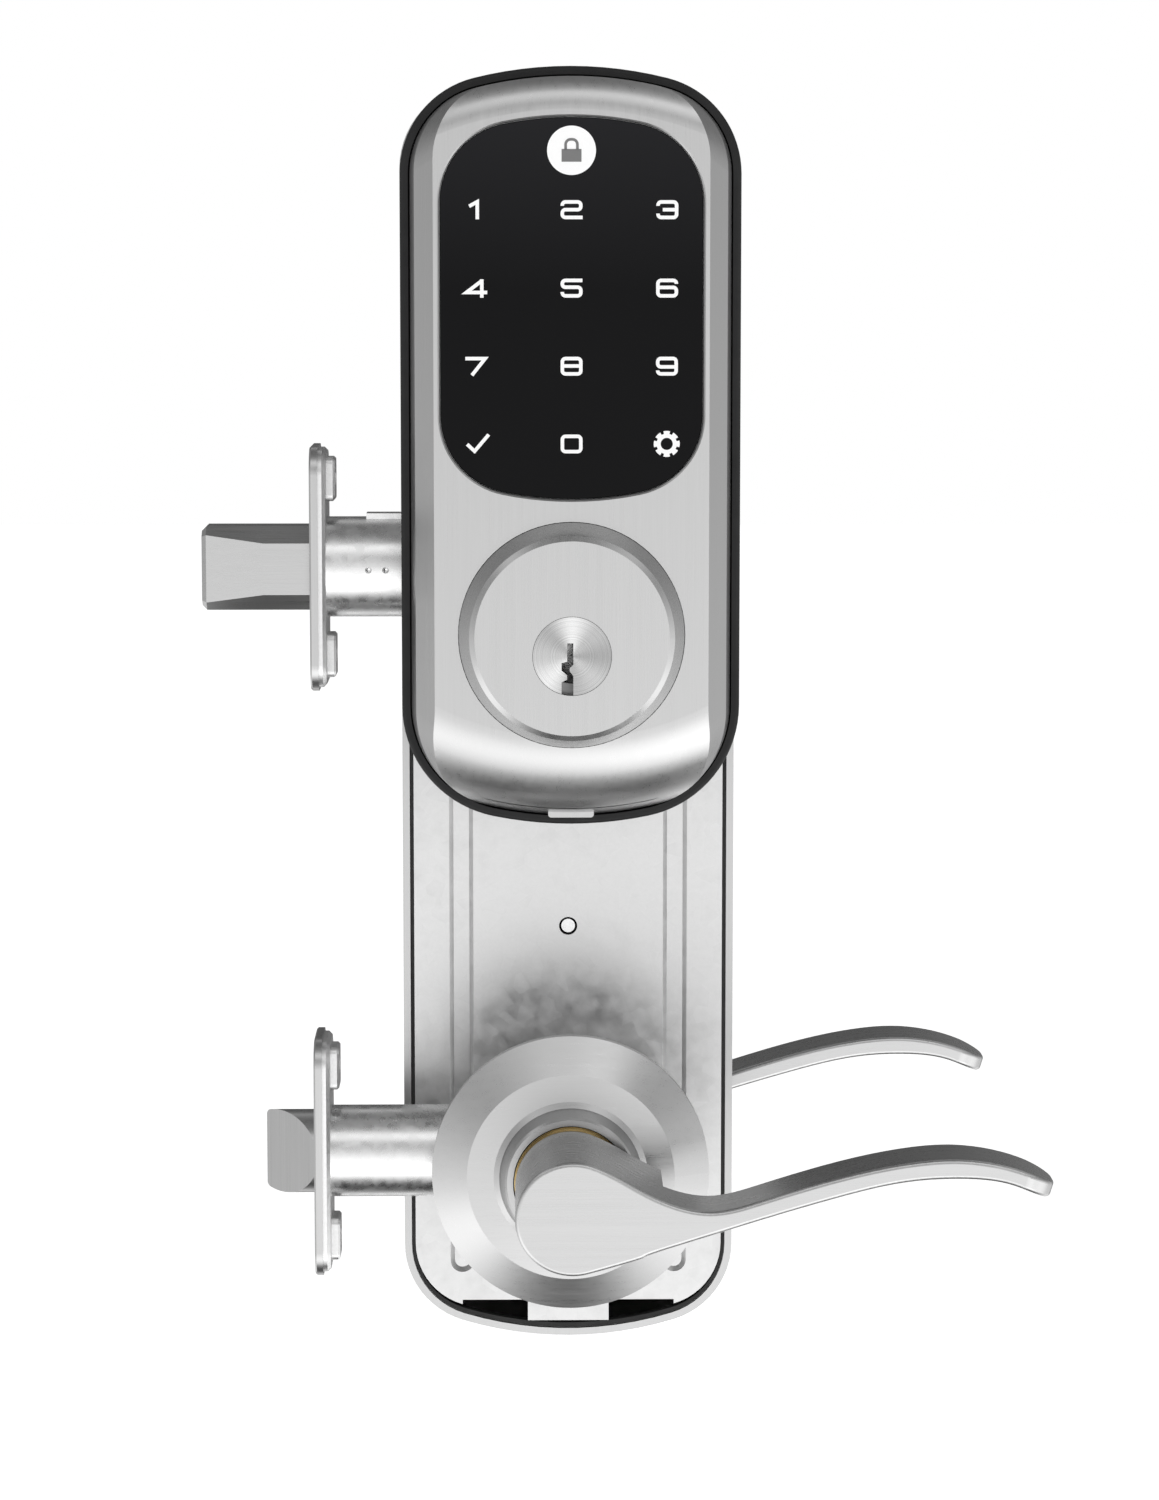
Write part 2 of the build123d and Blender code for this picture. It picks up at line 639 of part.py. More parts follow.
# ================================================================ spring latch
LATCH_NOSE = -BACKSET - LATCH_THROW
LATCH_BACK = LATCH_NOSE + LATCH_BODY
LATCH_CRANK_R = LATCH_THROW / 2 / math.sin(math.radians(LATCH_SWING / 2))
LATCH_PIN_X = -LATCH_THROW / 2
LATCH_PIN_Z = LATCH_CRANK_R * math.cos(math.radians(LATCH_SWING / 2))
LATCH_CASE_START = -22.6
LATCH_CASE_WALL = 0.8
LATCH_STOP = LATCH_BACK + LATCH_THROW + FREE                    # washer behind the drawn-in latch
RISER = 1.9


def latch_bolt():
    bolt = along_x(Circle(LATCH_R), LATCH_NOSE, LATCH_BACK)
    bolt = fillet(bolt.edges().sort_by(Axis.X)[0], 0.8)
    slope = [(LATCH_NOSE - 2, 6.0), (LATCH_NOSE - 2, -20.0), (LATCH_NOSE + 22, -20.0)]
    wedge = extrude(make_face(Polyline(*slope, close=True)), amount=30, both=True)
    bolt -= wedge
    bolt -= block(LATCH_NOSE + 16, LATCH_BACK + 1, -5.2, 5.2, -5.2, 5.2)
    return bolt


def latch_tail():
    half_t = 1.1
    low = LATCH_PIN_Z - LATCH_PIN_R - 0.25
    high = LATCH_CRANK_R + LATCH_PIN_R + 0.25
    riser = LATCH_CASE_START + LATCH_CASE_WALL + 0.3
    tail = block(LATCH_NOSE + 16.0, riser + 0.9, -half_t, half_t, -2.4, 2.4)
    hook = block(riser, riser + RISER, -half_t, half_t, -2.4, high + 0.6)
    hook += block(riser, LATCH_PIN_X + 3.2, -half_t, half_t, low - 1.0, high + 0.6)
    hook &= rod(0, 0, BORE_R - 0.7 - LATCH_CASE_WALL - 0.3, 5, -5)
    return tail + hook - block(LATCH_PIN_X - 1.85, LATCH_PIN_X + 1.85, -3, 3, low, high)


def latch_spring():
    wire, pitch = 0.45, 1.45
    start = LATCH_NOSE + 16.0 + LATCH_THROW + 0.9
    turns = (LATCH_STOP - wire - 0.1 - start) / pitch
    return coil(3.9, wire, pitch, turns, (start, 0, 0), (1, 0, 0))


def latch_retractor():
    hub = rod(0, 0, LATCH_HUB_R, 6.2, -6.2)
    arm = Pos(LATCH_PIN_X / 2, LATCH_PIN_Z / 2) * Rot(0, 0, 90 + LATCH_SWING / 2)
    hub += slab(arm * Rectangle(LATCH_CRANK_R, 5.4), 4.8, 1.6)
    hub += rod(LATCH_PIN_X, LATCH_PIN_Z, 2.7, 4.8, 1.6)
    hub += rod(LATCH_PIN_X, LATCH_PIN_Z, LATCH_PIN_R, 4.8, -2.0)
    hub += rod(0, 0, LATCH_HUB_R - 0.7, 9.0, -9.0)
    hub -= slab(Rectangle(SPINDLE + 0.2, SPINDLE + 0.2), 0, -10)
    return hub - slab(bow_tie(), 10, 0)


def bow_tie():
    """Opening that lets the inside spindle's tongue turn a full swing either way."""
    room = Circle(5.75)
    for side in (0, 180):
        wedge = make_face(Polyline((0, 0), (9, 1.2), (9, -1.2), close=True))
        room -= Rot(0, 0, side) * wedge
    return room + Circle(4.0)


def latch_case():
    wall = LATCH_CASE_WALL
    low, high, end = -12.2, LATCH_CRANK_R + 4.8, 13.0
    middle = Pos((LATCH_CASE_START + end) / 2, (low + high) / 2)
    room = Circle(BORE_R - 0.7)
    wide, tall = end - LATCH_CASE_START, high - low
    outer = middle * Rectangle(wide, tall) & room
    inner = middle * Rectangle(wide - 2 * wall, tall - 2 * wall) & Circle(BORE_R - 0.7 - wall)
    shell = slab(outer, 8.6, -8.6) - slab(inner, 7.8, -7.8)
    shell -= along_x(Circle(7.4), LATCH_CASE_START - 1, LATCH_CASE_START + 2)
    return shell - rod(0, 0, LATCH_HUB_R - 0.7 + RUN, 20, -20)


def latch_tube():
    ring = Circle(LATCH_TUBE_R) - Circle(LATCH_TUBE_R - TUBE_WALL)
    washer = Circle(LATCH_TUBE_R) - Rectangle(3.0, 6.0)
    return along_x(ring, TUBE_START, LATCH_CASE_START) + along_x(washer, LATCH_STOP, LATCH_STOP + 1.2)


def latch_faceplate():
    return front_plate(0, Circle(LATCH_R + FREE / 2))


def latch_backplate():
    return rear_plate(0, Circle(LATCH_TUBE_R - TUBE_WALL))


# ================================================================ outside lever set
COLLAR_FRONT = FACE_OUT - COLLAR_OUT
LEVER_FACE_Y = FACE_OUT - LEVER_FRONT
LEVER_BACK_Y = LEVER_FACE_Y + LEVER_BLOCK
LINER_FRONT = FACE_OUT - 5.0


def rose():
    door = FACE_OUT
    profile = [
        (ROSE_R, door), (ROSE_R, door - ROSE_EDGE), (ROSE_BEVEL_R, door - ROSE_BEVEL),
        (COLLAR_FOOT_R, door - ROSE_BEVEL - 0.4), (COLLAR_FOOT_R - 1.3, door - ROSE_BEVEL - 1.4),
        (COLLAR_R + 0.5, COLLAR_FRONT + 0.6), (COLLAR_R, COLLAR_FRONT), (COLLAR_HOLE_R, COLLAR_FRONT),
        (COLLAR_HOLE_R, door - ROSE_BEVEL + ROSE_WALL), (ROSE_BEVEL_R - 0.6, door - ROSE_BEVEL + ROSE_WALL),
        (ROSE_R - ROSE_WALL, door - ROSE_EDGE + 0.8), (ROSE_R - ROSE_WALL, door),
    ]
    return turned(profile, 0)


def rose_liner():
    """Cast chassis behind the rose, centred by its boss in the cross bore."""
    liner = tube(0, 0, ROSE_R - ROSE_WALL - FREE, NECK_R + BUSH_WALL + 0.3, FACE_OUT, FACE_OUT - 1.6)
    liner += tube(0, 0, COLLAR_FOOT_R + 4, NECK_R + BUSH_WALL + 0.3, FACE_OUT, LINER_FRONT)
    boss = tube(0, 0, BORE_R - 0.2, BORE_R - 2.4, FACE_OUT + 6, FACE_OUT)
    gap = block(-BORE_R - 1, 0, FACE_OUT + 0.01, FACE_OUT + 7, -12.5, 12.5)
    liner += boss - gap
    for x, z in ROSE_BOLTS:
        liner += rod(x, z, 3.6, FACE_OUT + POST_END, FACE_OUT)
        liner -= rod(x, z, BOLT_R + RUN, FACE_OUT + POST_END + 1, FACE_OUT - 1.5)
    liner -= tube(0, 0, 20.2, 15.4, FACE_OUT + 1 - 1, LINER_FRONT + 1.2)
    return liner


def lever_bush(back, front):
    return tube(0, 0, NECK_R + BUSH_WALL, NECK_R + RUN, back, front)


def lever_outline():
    """Front view of the lever: round hub that sweeps into a slim waved arm."""
    top_start = (5.4, math.sqrt(HUB_LEVER_R**2 - 5.4**2))
    low_start = (3.4, -math.sqrt(HUB_LEVER_R**2 - 3.4**2))
    top = Spline(
        top_start, (15.5, 6.3), (24.0, 2.7), (31.0, 1.7), (41.4, 4.0), (58.0, 9.0), (75.0, 12.6),
        (86.0, 13.3), (97.0, 11.6), (LEVER_TIP_X, 7.2),
        tangents=[(12.0, -4.9), (0.85, -0.45)],
    )
    low = Spline(
        (LEVER_TIP_X - 1.2, 3.4), (97.0, 7.6), (86.0, 8.9), (75.0, 8.3), (58.0, 4.5), (41.4, -0.4),
        (29.3, -4.2), (16.6, -8.3), low_start,
        tangents=[(-0.85, 0.45), (-12.4, -3.4)],
    )
    hub = ThreePointArc(low @ 1, (-HUB_LEVER_R, 0), top @ 0)
    return make_face([top, Line(top @ 1, low @ 0), low, hub])


def lever_solid():
    """Outside lever; the inside one is its mirror image."""
    view = lever_outline()
    front = LEVER_FACE_Y
    arm = slab(view, front + LEVER_DEPTH, front)
    ends = [e for e in arm.edges() if e.center().X > LEVER_TIP_X - 2 and abs(e.tangent_at(0.5).Y) < 0.1]
    arm = fillet(ends, 7.0)
    arm = fillet([e for e in arm.edges() if abs(e.tangent_at(0.5).Y) < 0.9], 0.9)
    near = view & Pos(LEVER_BLOCK_X / 2 - 15, 0) * Rectangle(LEVER_BLOCK_X + 30, 60)
    lever = arm + slab(near, LEVER_BACK_Y, front + 5.0)
    lever += rod(0, 0, NECK_R, LINER_FRONT, LEVER_BACK_Y)
    socket = Rectangle(SPINDLE + 0.1, SPINDLE + 0.1)
    return lever - slab(socket, 0, LEVER_BACK_Y - 18)


def exterior_lever():
    return lever_solid()


def exterior_spindle():
    return slab(Rectangle(SPINDLE, SPINDLE), -0.4, LEVER_BACK_Y - 17)


def torsion_spring(back, front, radius, wire):
    """Close-wound return spring with its turns touching."""
    turns = int((back - front) / (2 * wire))
    ring = Plane.XZ.offset(-(front + wire)) * Torus(radius, wire * 1.02)
    spring = ring
    for turn in range(1, turns):
        spring += Pos(0, 2 * wire * turn, 0) * ring
    return spring


# ================================================================ inside unit
SHEET_BACK = FACE_IN + 0.3
SHEET_FRONT = SHEET_BACK + SHEET
LOW_FACE = FACE_IN + ESC_LOW
HIGH_FACE = FACE_IN + ESC_HIGH
INNER_SHIFT = LOW_FACE + 4.0 + LEVER_BACK_Y      # moves the mirrored lever onto the inside housing
GEAR_BACK = FACE_IN + 17.8
GEAR_T = 6.0
BIG_BACK = GEAR_BACK + GEAR_T + 1.0
BIG_T = 4.0
CHASSIS_BACK = FACE_IN + 14.0
CHASSIS_T = 2.0
RACK_BACK = FACE_IN + 8.0
RACK_T = 3.0


def polar(x, z, distance, angle):
    turn = math.radians(angle)
    return (x + distance * math.cos(turn), z + distance * math.sin(turn))


IDLER_DISTANCE = DRIVE_MODULE * (DRIVE_TEETH + IDLER_TEETH) / 2
MOTOR_DISTANCE = MOTOR_MODULE * (REDUCTION_TEETH + PINION_TEETH) / 2
IDLER = polar(0, PLUG_Z, IDLER_DISTANCE, IDLER_ANGLE)
MOTOR = polar(*IDLER, MOTOR_DISTANCE, MOTOR_ANGLE)
RACK_R = DRIVE_MODULE * RACK_TEETH / 2


def interior_plate():
    outline = shield(
        SHEET_HALF_W, SHEET_TOP, SHEET_BOTTOM, ESC_ARC, ESC_ARC * 6, ESC_CORNER - 3, ESC_CORNER - 4
    )
    tongue = Pos(0, SHEET_BOTTOM) * Rectangle(19.8, 6.0)
    notch = Pos(0, SHEET_BOTTOM) * Rectangle(2 * RIB_X, 4.4)
    plate = slab(outline - notch + tongue, SHEET_FRONT, SHEET_BACK)
    length = RIB_TOP - RIB_BOTTOM
    for x in (-RIB_X, RIB_X):
        spot = Pos(x, (RIB_TOP + RIB_BOTTOM) / 2) * Rot(0, 0, 90)
        outer = slab(spot * SlotOverall(length, RIB_W), SHEET_FRONT + RIB_H, SHEET_FRONT)
        plate += chamfer(outer.faces().sort_by(Axis.Y)[-1].edges(), 1.0)
        inner = slab(spot * SlotOverall(length - 1.6, RIB_W - 1.6), SHEET_BACK + RIB_H, SHEET_BACK - 1)
        plate -= chamfer(inner.faces().sort_by(Axis.Y)[-1].edges(), 1.0)
    plate -= rod(0, 0, 10.0, SHEET_FRONT + 1, 0)
    plate -= rod(0, PLUG_Z, 5.5 + RUN, SHEET_FRONT + 1, 0)
    plate -= rod(0, SCREW_Z, 2.2, SHEET_FRONT + 1, 0)
    for x, z in KEYPAD_BOLTS + ROSE_BOLTS:
        plate -= rod(x, z, BOLT_R + 0.3, SHEET_FRONT + 1, 0)
    plate -= slab(Pos(0, 172) * SlotOverall(24, 10), SHEET_FRONT + 1, 0)
    return plate


def interior_gasket():
    """Soft strip between the housing's wall and the mounting plate."""
    strip = housing_outline(ESC_WALL + 0.2) - shield(
        SHEET_HALF_W + GAP, SHEET_TOP + GAP, SHEET_BOTTOM - 3.6, ESC_ARC, ESC_ARC,
        ESC_CORNER - 3, ESC_CORNER - 3,
    )
    return slab(strip, SHEET_FRONT + 0.8, SHEET_BACK)


def housing_side(inset):
    """Side view of the inside housing: low at the lever, ramping up to the battery end."""
    back, low, high = FACE_IN, LOW_FACE - inset, HIGH_FACE - inset
    roll = ESC_END_ROLL - inset
    top, bottom = ESC_TOP - inset, ESC_BOTTOM + inset
    shift = inset * 0.3
    profile = make_face(
        [
            Line((back, bottom), (back, top)),
            Line((back, top), (high - roll, top)),
            ThreePointArc((high - roll, top),
                          (high - roll * (1 - math.sqrt(0.5)), top - roll * (1 - math.sqrt(0.5))),
                          (high, top - roll)),
            Line((high, top - roll), (high, ESC_STEP_HIGH + shift)),
            Spline((high, ESC_STEP_HIGH + shift), (low, ESC_STEP_LOW + shift), tangents=[(0, -1), (0, -1)]),
            Line((low, ESC_STEP_LOW + shift), (low, bottom + roll)),
            ThreePointArc((low, bottom + roll),
                          (low - roll * (1 - math.sqrt(0.5)), bottom + roll * (1 - math.sqrt(0.5))),
                          (low - roll, bottom)),
            Line((low - roll, bottom), (back, bottom)),
        ]
    )
    return along_x(profile, -60, 60)


def housing_body(inset):
    """Solid of the inside housing, with its long edges sloped in towards the face."""
    foot = Plane.XZ.offset(-FACE_IN) * housing_outline(inset)
    knee = Plane.XZ.offset(-(LOW_FACE - 7)) * housing_outline(inset + 0.8)
    face = Plane.XZ.offset(-HIGH_FACE) * housing_outline(inset + 5.5)
    body = loft([foot, knee], ruled=True) + loft([knee, face], ruled=True)
    return body & housing_side(inset)


def battery_side(grow=0.0):
    """Space that the battery cover takes from the housing."""
    return block(-60, 60, FACE_IN + COVER_SPLIT_Y - grow, HIGH_FACE + 5, COVER_SPLIT_Z - grow, ESC_TOP + 5)


def interior_escutcheon():
    shell = housing_body(0) - housing_body(ESC_WALL)
    shell -= slab(housing_outline(ESC_WALL), FACE_IN + 1, FACE_IN - 1)
    shell -= battery_side()
    shell += rod(0, SCREW_Z, 4.2, LOW_FACE - 0.5, SHEET_FRONT)
    shell -= rod(0, SCREW_Z, 2.2, LOW_FACE + 5, SHEET_FRONT - 1)
    shell -= rod(0, SCREW_Z, 3.8, LOW_FACE + 5, LOW_FACE - 3)
    shell += rod(0, 0, 17.5, LOW_FACE + 3.0, LOW_FACE - ESC_WALL)
    shell -= rod(0, 0, NECK_R + RUN, LOW_FACE + 5, LOW_FACE - 5)
    return shell - rod(0, PLUG_Z, 6.0 + RUN, HIGH_FACE + 5, HIGH_FACE - 5)


def battery_cover():
    shell = housing_body(0) - housing_body(ESC_WALL)
    shell &= battery_side(-0.3)
    return shell


def interior_lever():
    return Pos(0, INNER_SHIFT, 0) * mirror(lever_solid(), Plane.XZ)


def interior_spindle():
    bar = slab(Rectangle(SPINDLE, SPINDLE), INNER_SHIFT - LEVER_BACK_Y + 17, 9.4)
    return bar + slab(Rectangle(2.4, 10.6), 9.4, 0.4)


def lever_cam():
    """Cam on the inside spindle; its pin lifts and lowers the interconnect slide."""
    back = SHEET_FRONT + 1.0
    cam = rod(0, 0, 9.5, RACK_BACK - 0.5, back)
    x, z = CAM_PIN
    cam += slab(Pos(x / 2, z / 2) * Rot(0, 0, 30) * Rectangle(RACK_TRAVEL, 6.0), RACK_BACK - 0.5, back)
    cam += rod(x, z, 3.0, RACK_BACK - 0.5, back)
    cam += rod(x, z, 1.6, RACK_BACK + RACK_T, back)
    return cam - slab(Rectangle(SPINDLE + 0.1, SPINDLE + 0.1), 60, 10)


RACK_TRAVEL = RACK_R * math.pi / 2
CAM_PIN = (RACK_TRAVEL * math.cos(math.pi / 6), RACK_TRAVEL / 2)


def interconnect_slide():
    """Flat slide from the lever's cam up to the retract pinion, with a rack at its top."""
    front, back = RACK_BACK + RACK_T - 0.5, RACK_BACK
    x, z = CAM_PIN
    plate = slab(Pos(15.5, 10.0) * Rectangle(18.0, 22.0), front, back)
    plate += slab(Pos(19.5, 66.0) * Rectangle(6.0, 118.0), front, back)
    plate -= slab(Pos(x, z) * Rectangle(7.2, 2 * 1.6 + 0.7), front + 1, back - 1)
    root = RACK_R + 1.1 * DRIVE_MODULE
    rack_high = PLUG_Z + 17.0
    rack_low = PLUG_Z - 6.0
    bar = Pos((root + 22.5) / 2, (rack_high + rack_low) / 2) * Rectangle(22.5 - root, rack_high - rack_low)
    plate += slab(bar, front, back)
    pitch = math.pi * DRIVE_MODULE
    slope = math.tan(math.radians(20))
    half = pitch / 4 - BACKLASH / 2
    tip, foot = half - 0.85 * DRIVE_MODULE * slope, half + 1.1 * DRIVE_MODULE * slope
    tip_x = RACK_R - 0.85 * DRIVE_MODULE
    for tooth in range(-1, 5):
        centre = PLUG_Z + pitch * (tooth + 0.5)
        low, high = (tip_x, centre - tip), (tip_x, centre + tip)
        tooth_face = Polyline((root + 0.1, centre - foot), low, high, (root + 0.1, centre + foot), close=True)
        plate += slab(make_face(tooth_face), front, back)
    return plate


def retract_pinion():
    teeth = Pos(0, PLUG_Z) * gear_face(DRIVE_MODULE, RACK_TEETH, 0)
    pinion = slab(teeth, RACK_BACK + RACK_T, RACK_BACK - 0.5)
    pinion += rod(0, PLUG_Z, 5.5, RACK_BACK, SHEET_BACK + 0.2)
    return pinion - rod(0, PLUG_Z, 4.3, 60, 10)


def drive_gear():
    teeth = Pos(0, PLUG_Z) * gear_face(DRIVE_MODULE, DRIVE_TEETH, 0, IDLER_ANGLE)
    gear = slab(teeth, GEAR_BACK + GEAR_T, GEAR_BACK)
    gear += rod(0, PLUG_Z, 7.5, GEAR_BACK, CHASSIS_BACK)
    return gear - slab(tail_slot(), GEAR_BACK + GEAR_T - 1.0, 10)


def idler_gear():
    opposite = IDLER_ANGLE + 180 + 180 / IDLER_TEETH
    small = gear_face(DRIVE_MODULE, IDLER_TEETH, 2.0 + RUN, opposite)
    large = gear_face(MOTOR_MODULE, REDUCTION_TEETH, 2.0 + RUN, MOTOR_ANGLE)
    gear = slab(Pos(*IDLER) * small, BIG_BACK, GEAR_BACK + 0.3)
    return gear + slab(Pos(*IDLER) * large, BIG_BACK + BIG_T, BIG_BACK)


def motor_pinion():
    opposite = MOTOR_ANGLE + 180 + 180 / PINION_TEETH
    face = gear_face(MOTOR_MODULE, PINION_TEETH, 1.0 + RUN, opposite)
    return slab(Pos(*MOTOR) * face, BIG_BACK + BIG_T + 0.5, BIG_BACK - 0.5)


def motor():
    body = rod(*MOTOR, MOTOR_R, GEAR_BACK + 4.0, SHEET_FRONT + 1.0)
    body = fillet(body.edges().filter_by(GeomType.CIRCLE), 0.8)
    body += rod(*MOTOR, 3.0, GEAR_BACK + 5.5, GEAR_BACK + 4.0)
    return body + rod(*MOTOR, 1.0, BIG_BACK + BIG_T + 1.0, GEAR_BACK + 5.5)


def gear_chassis():
    """Moulded plate that carries the gear train in front of the mounting plate."""
    low, high = PLUG_Z - 26, PLUG_Z + 41
    face = Pos(0, (low + high) / 2) * RectangleRounded(66, high - low, 5)
    plate = slab(face, CHASSIS_BACK + CHASSIS_T, CHASSIS_BACK)
    for x in (-28.0, 28.0):
        for z in (low + 6, high - 6):
            plate += rod(x, z, 3.4, CHASSIS_BACK, SHEET_FRONT)
            plate -= rod(x, z, 1.3, CHASSIS_BACK + 5, SHEET_FRONT - 1)
    plate -= rod(0, PLUG_Z, 7.5 + RUN, 60, 10)
    plate -= rod(*MOTOR, MOTOR_R + GAP, 60, 10)
    return plate + rod(*IDLER, 2.0, BIG_BACK + BIG_T + 1.2, CHASSIS_BACK)


def thumbturn():
    shaft = rod(0, PLUG_Z, 6.0, HIGH_FACE + 0.3, GEAR_BACK + GEAR_T + 0.01)
    disc = rod(0, PLUG_Z, 17.0, HIGH_FACE + 4.0, HIGH_FACE + 0.3)
    disc = chamfer(disc.edges().sort_by(Axis.Y)[-1], 1.2)
    grip_face = Pos(0, PLUG_Z) * SlotOverall(40, 10)
    grip = slab(grip_face, HIGH_FACE + 19.0, HIGH_FACE + 4.0)
    grip = fillet(grip.edges().group_by(Axis.Y)[-1], 2.2)
    return shaft + disc + grip


def control_board():
    face = Pos(0, 208) * RectangleRounded(62, 74, 4)
    return slab(face, SHEET_FRONT + 5.6, SHEET_FRONT + 4.0)


CELL_Y = SHEET_FRONT + 7.2 + 2.0 + CELL_R + 0.5
CELL_Z = 209.0


def cell_x(number):
    return (number - (CELL_COUNT - 1) / 2) * (2 * CELL_R + CELL_GAP)


def battery_tray():
    width = CELL_COUNT * (2 * CELL_R + CELL_GAP) + 3.0
    height = CELL_LENGTH + 10.0
    back = SHEET_FRONT + 7.2
    low, high = CELL_Z - height / 2, CELL_Z + height / 2
    tray = block(-width / 2, width / 2, back, CELL_Y + 1.5, low, high)
    for number in range(CELL_COUNT):
        x = cell_x(number)
        pocket = block(x - CELL_R - 0.3, x + CELL_R + 0.3, back + 2.0, CELL_Y + 9, low + 2.0, high - 2.0)
        tray -= pocket
    return tray


def battery_contacts():
    """Plates at both ends of the cells; each joins two neighbours."""
    half = CELL_LENGTH / 2 + 1.6
    plates = []
    for z in (CELL_Z - half, CELL_Z + half):
        for number in range(CELL_COUNT):
            x = cell_x(number)
            plates.append(block(x - 5, x + 5, CELL_Y - 5.5, CELL_Y + 1.4, z - 0.5, z + 0.5))
    return plates


def battery(number):
    up = 1 if number % 2 else -1
    can = Pos(cell_x(number), CELL_Y, CELL_Z) * Cylinder(CELL_R, CELL_LENGTH - 1.2)
    can = fillet(can.edges().filter_by(GeomType.CIRCLE), 0.6)
    tip_z = CELL_Z + up * (CELL_LENGTH / 2)
    return can + Pos(cell_x(number), CELL_Y, tip_z) * Cylinder(2.7, 1.4)


def housing_screw():
    head = rod(0, SCREW_Z, 3.5, LOW_FACE - 0.8, LOW_FACE - 2.9)
    head -= slab(Pos(0, SCREW_Z) * Rectangle(4.4, 0.9), LOW_FACE, LOW_FACE - 1.9)
    head -= slab(Pos(0, SCREW_Z) * Rectangle(0.9, 4.4), LOW_FACE, LOW_FACE - 1.9)
    return head + rod(0, SCREW_Z, 1.65, LOW_FACE - 2.9, SHEET_BACK + 0.5)


def machine_screw(x, z, head_back, tip):
    """Through bolt along Y with a pan head on the inside plate."""
    head = rod(x, z, 4.2, head_back + 2.6, head_back)
    head = fillet(head.edges().sort_by(Axis.Y)[-1], 1.0)
    head -= slab(Pos(x, z) * Rectangle(5.0, 1.0), head_back + 3, head_back + 1.2)
    head -= slab(Pos(x, z) * Rectangle(1.0, 5.0), head_back + 3, head_back + 1.2)
    return head + rod(x, z, BOLT_R, head_back, tip)


def through_bolts():
    return [machine_screw(x, z, SHEET_FRONT, FACE_OUT + 4.0) for x, z in KEYPAD_BOLTS + ROSE_BOLTS]


# ================================================================ export
def write(name, shape):
    solids = shape if isinstance(shape, list) else [shape]
    pieces = [piece for item in solids for piece in item.solids()]
    part = pieces[0] if len(pieces) == 1 else Compound(children=pieces)
    part.label = name
    export_step(part, f"parts/{name}.step")


NODES = {
    "keypad_gasket": keypad_gasket,
    "keypad_base": keypad_base,
    "keypad_backplate": keypad_backplate,
    "keypad_cover": keypad_cover,
    "touchscreen_lens": touchscreen_lens,
    "touch_board": touch_board,
    "harness_sockets": harness_sockets,
    "cylinder_guard": cylinder_guard,
    "cylinder_body": cylinder_body,
    "key_plug": key_plug,
    "key_pins": key_pins,
    "driver_pins": driver_pins,
    "pin_springs": pin_springs,
    "cylinder_screws": cylinder_screws,
    "tailpiece": tailpiece,
    "deadbolt_bolt": deadbolt_bolt,
    "deadbolt_tail": deadbolt_tail,
    "deadbolt_hub": deadbolt_hub,
    "deadbolt_case": deadbolt_case,
    "deadbolt_tube": deadbolt_tube,
    "deadbolt_faceplate": deadbolt_faceplate,
    "deadbolt_backplate": deadbolt_backplate,
    "latch_bolt": latch_bolt,
    "latch_tail": latch_tail,
    "latch_spring": latch_spring,
    "latch_retractor": latch_retractor,
    "latch_case": latch_case,
    "latch_tube": latch_tube,
    "latch_faceplate": latch_faceplate,
    "latch_backplate": latch_backplate,
    "rose": rose,
    "rose_liner": rose_liner,
    "exterior_bushing": lambda: lever_bush(LINER_FRONT, COLLAR_FRONT + 0.4),
    "exterior_lever_spring": lambda: torsion_spring(FACE_OUT, LINER_FRONT + 1.3, 17.8, 0.9),
    "exterior_lever": exterior_lever,
    "exterior_spindle": exterior_spindle,
    "interior_plate": interior_plate,
    "interior_gasket": interior_gasket,
    "interior_escutcheon": interior_escutcheon,
    "battery_cover": battery_cover,
    "battery_tray": battery_tray,
    "battery_contacts": battery_contacts,
    "control_board": control_board,
    "gear_chassis": gear_chassis,
    "motor": motor,
    "motor_pinion": motor_pinion,
    "idler_gear": idler_gear,
    "drive_gear": drive_gear,
    "thumbturn": thumbturn,
    "retract_pinion": retract_pinion,
    "interconnect_slide": interconnect_slide,
    "lever_cam": lever_cam,
    "interior_spindle": interior_spindle,
    "interior_lever": interior_lever,
    "through_bolts": through_bolts,
    "housing_screw": housing_screw,
}

os.makedirs("parts", exist_ok=True)
for node, build in NODES.items():
    write(node, build())
for cell in range(CELL_COUNT):
    write(f"battery_{cell + 1}", battery(cell))
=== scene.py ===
import math

import bmesh
import bpy
from bpy.props import FloatProperty, FloatVectorProperty, PointerProperty
from mathutils import Matrix, Vector


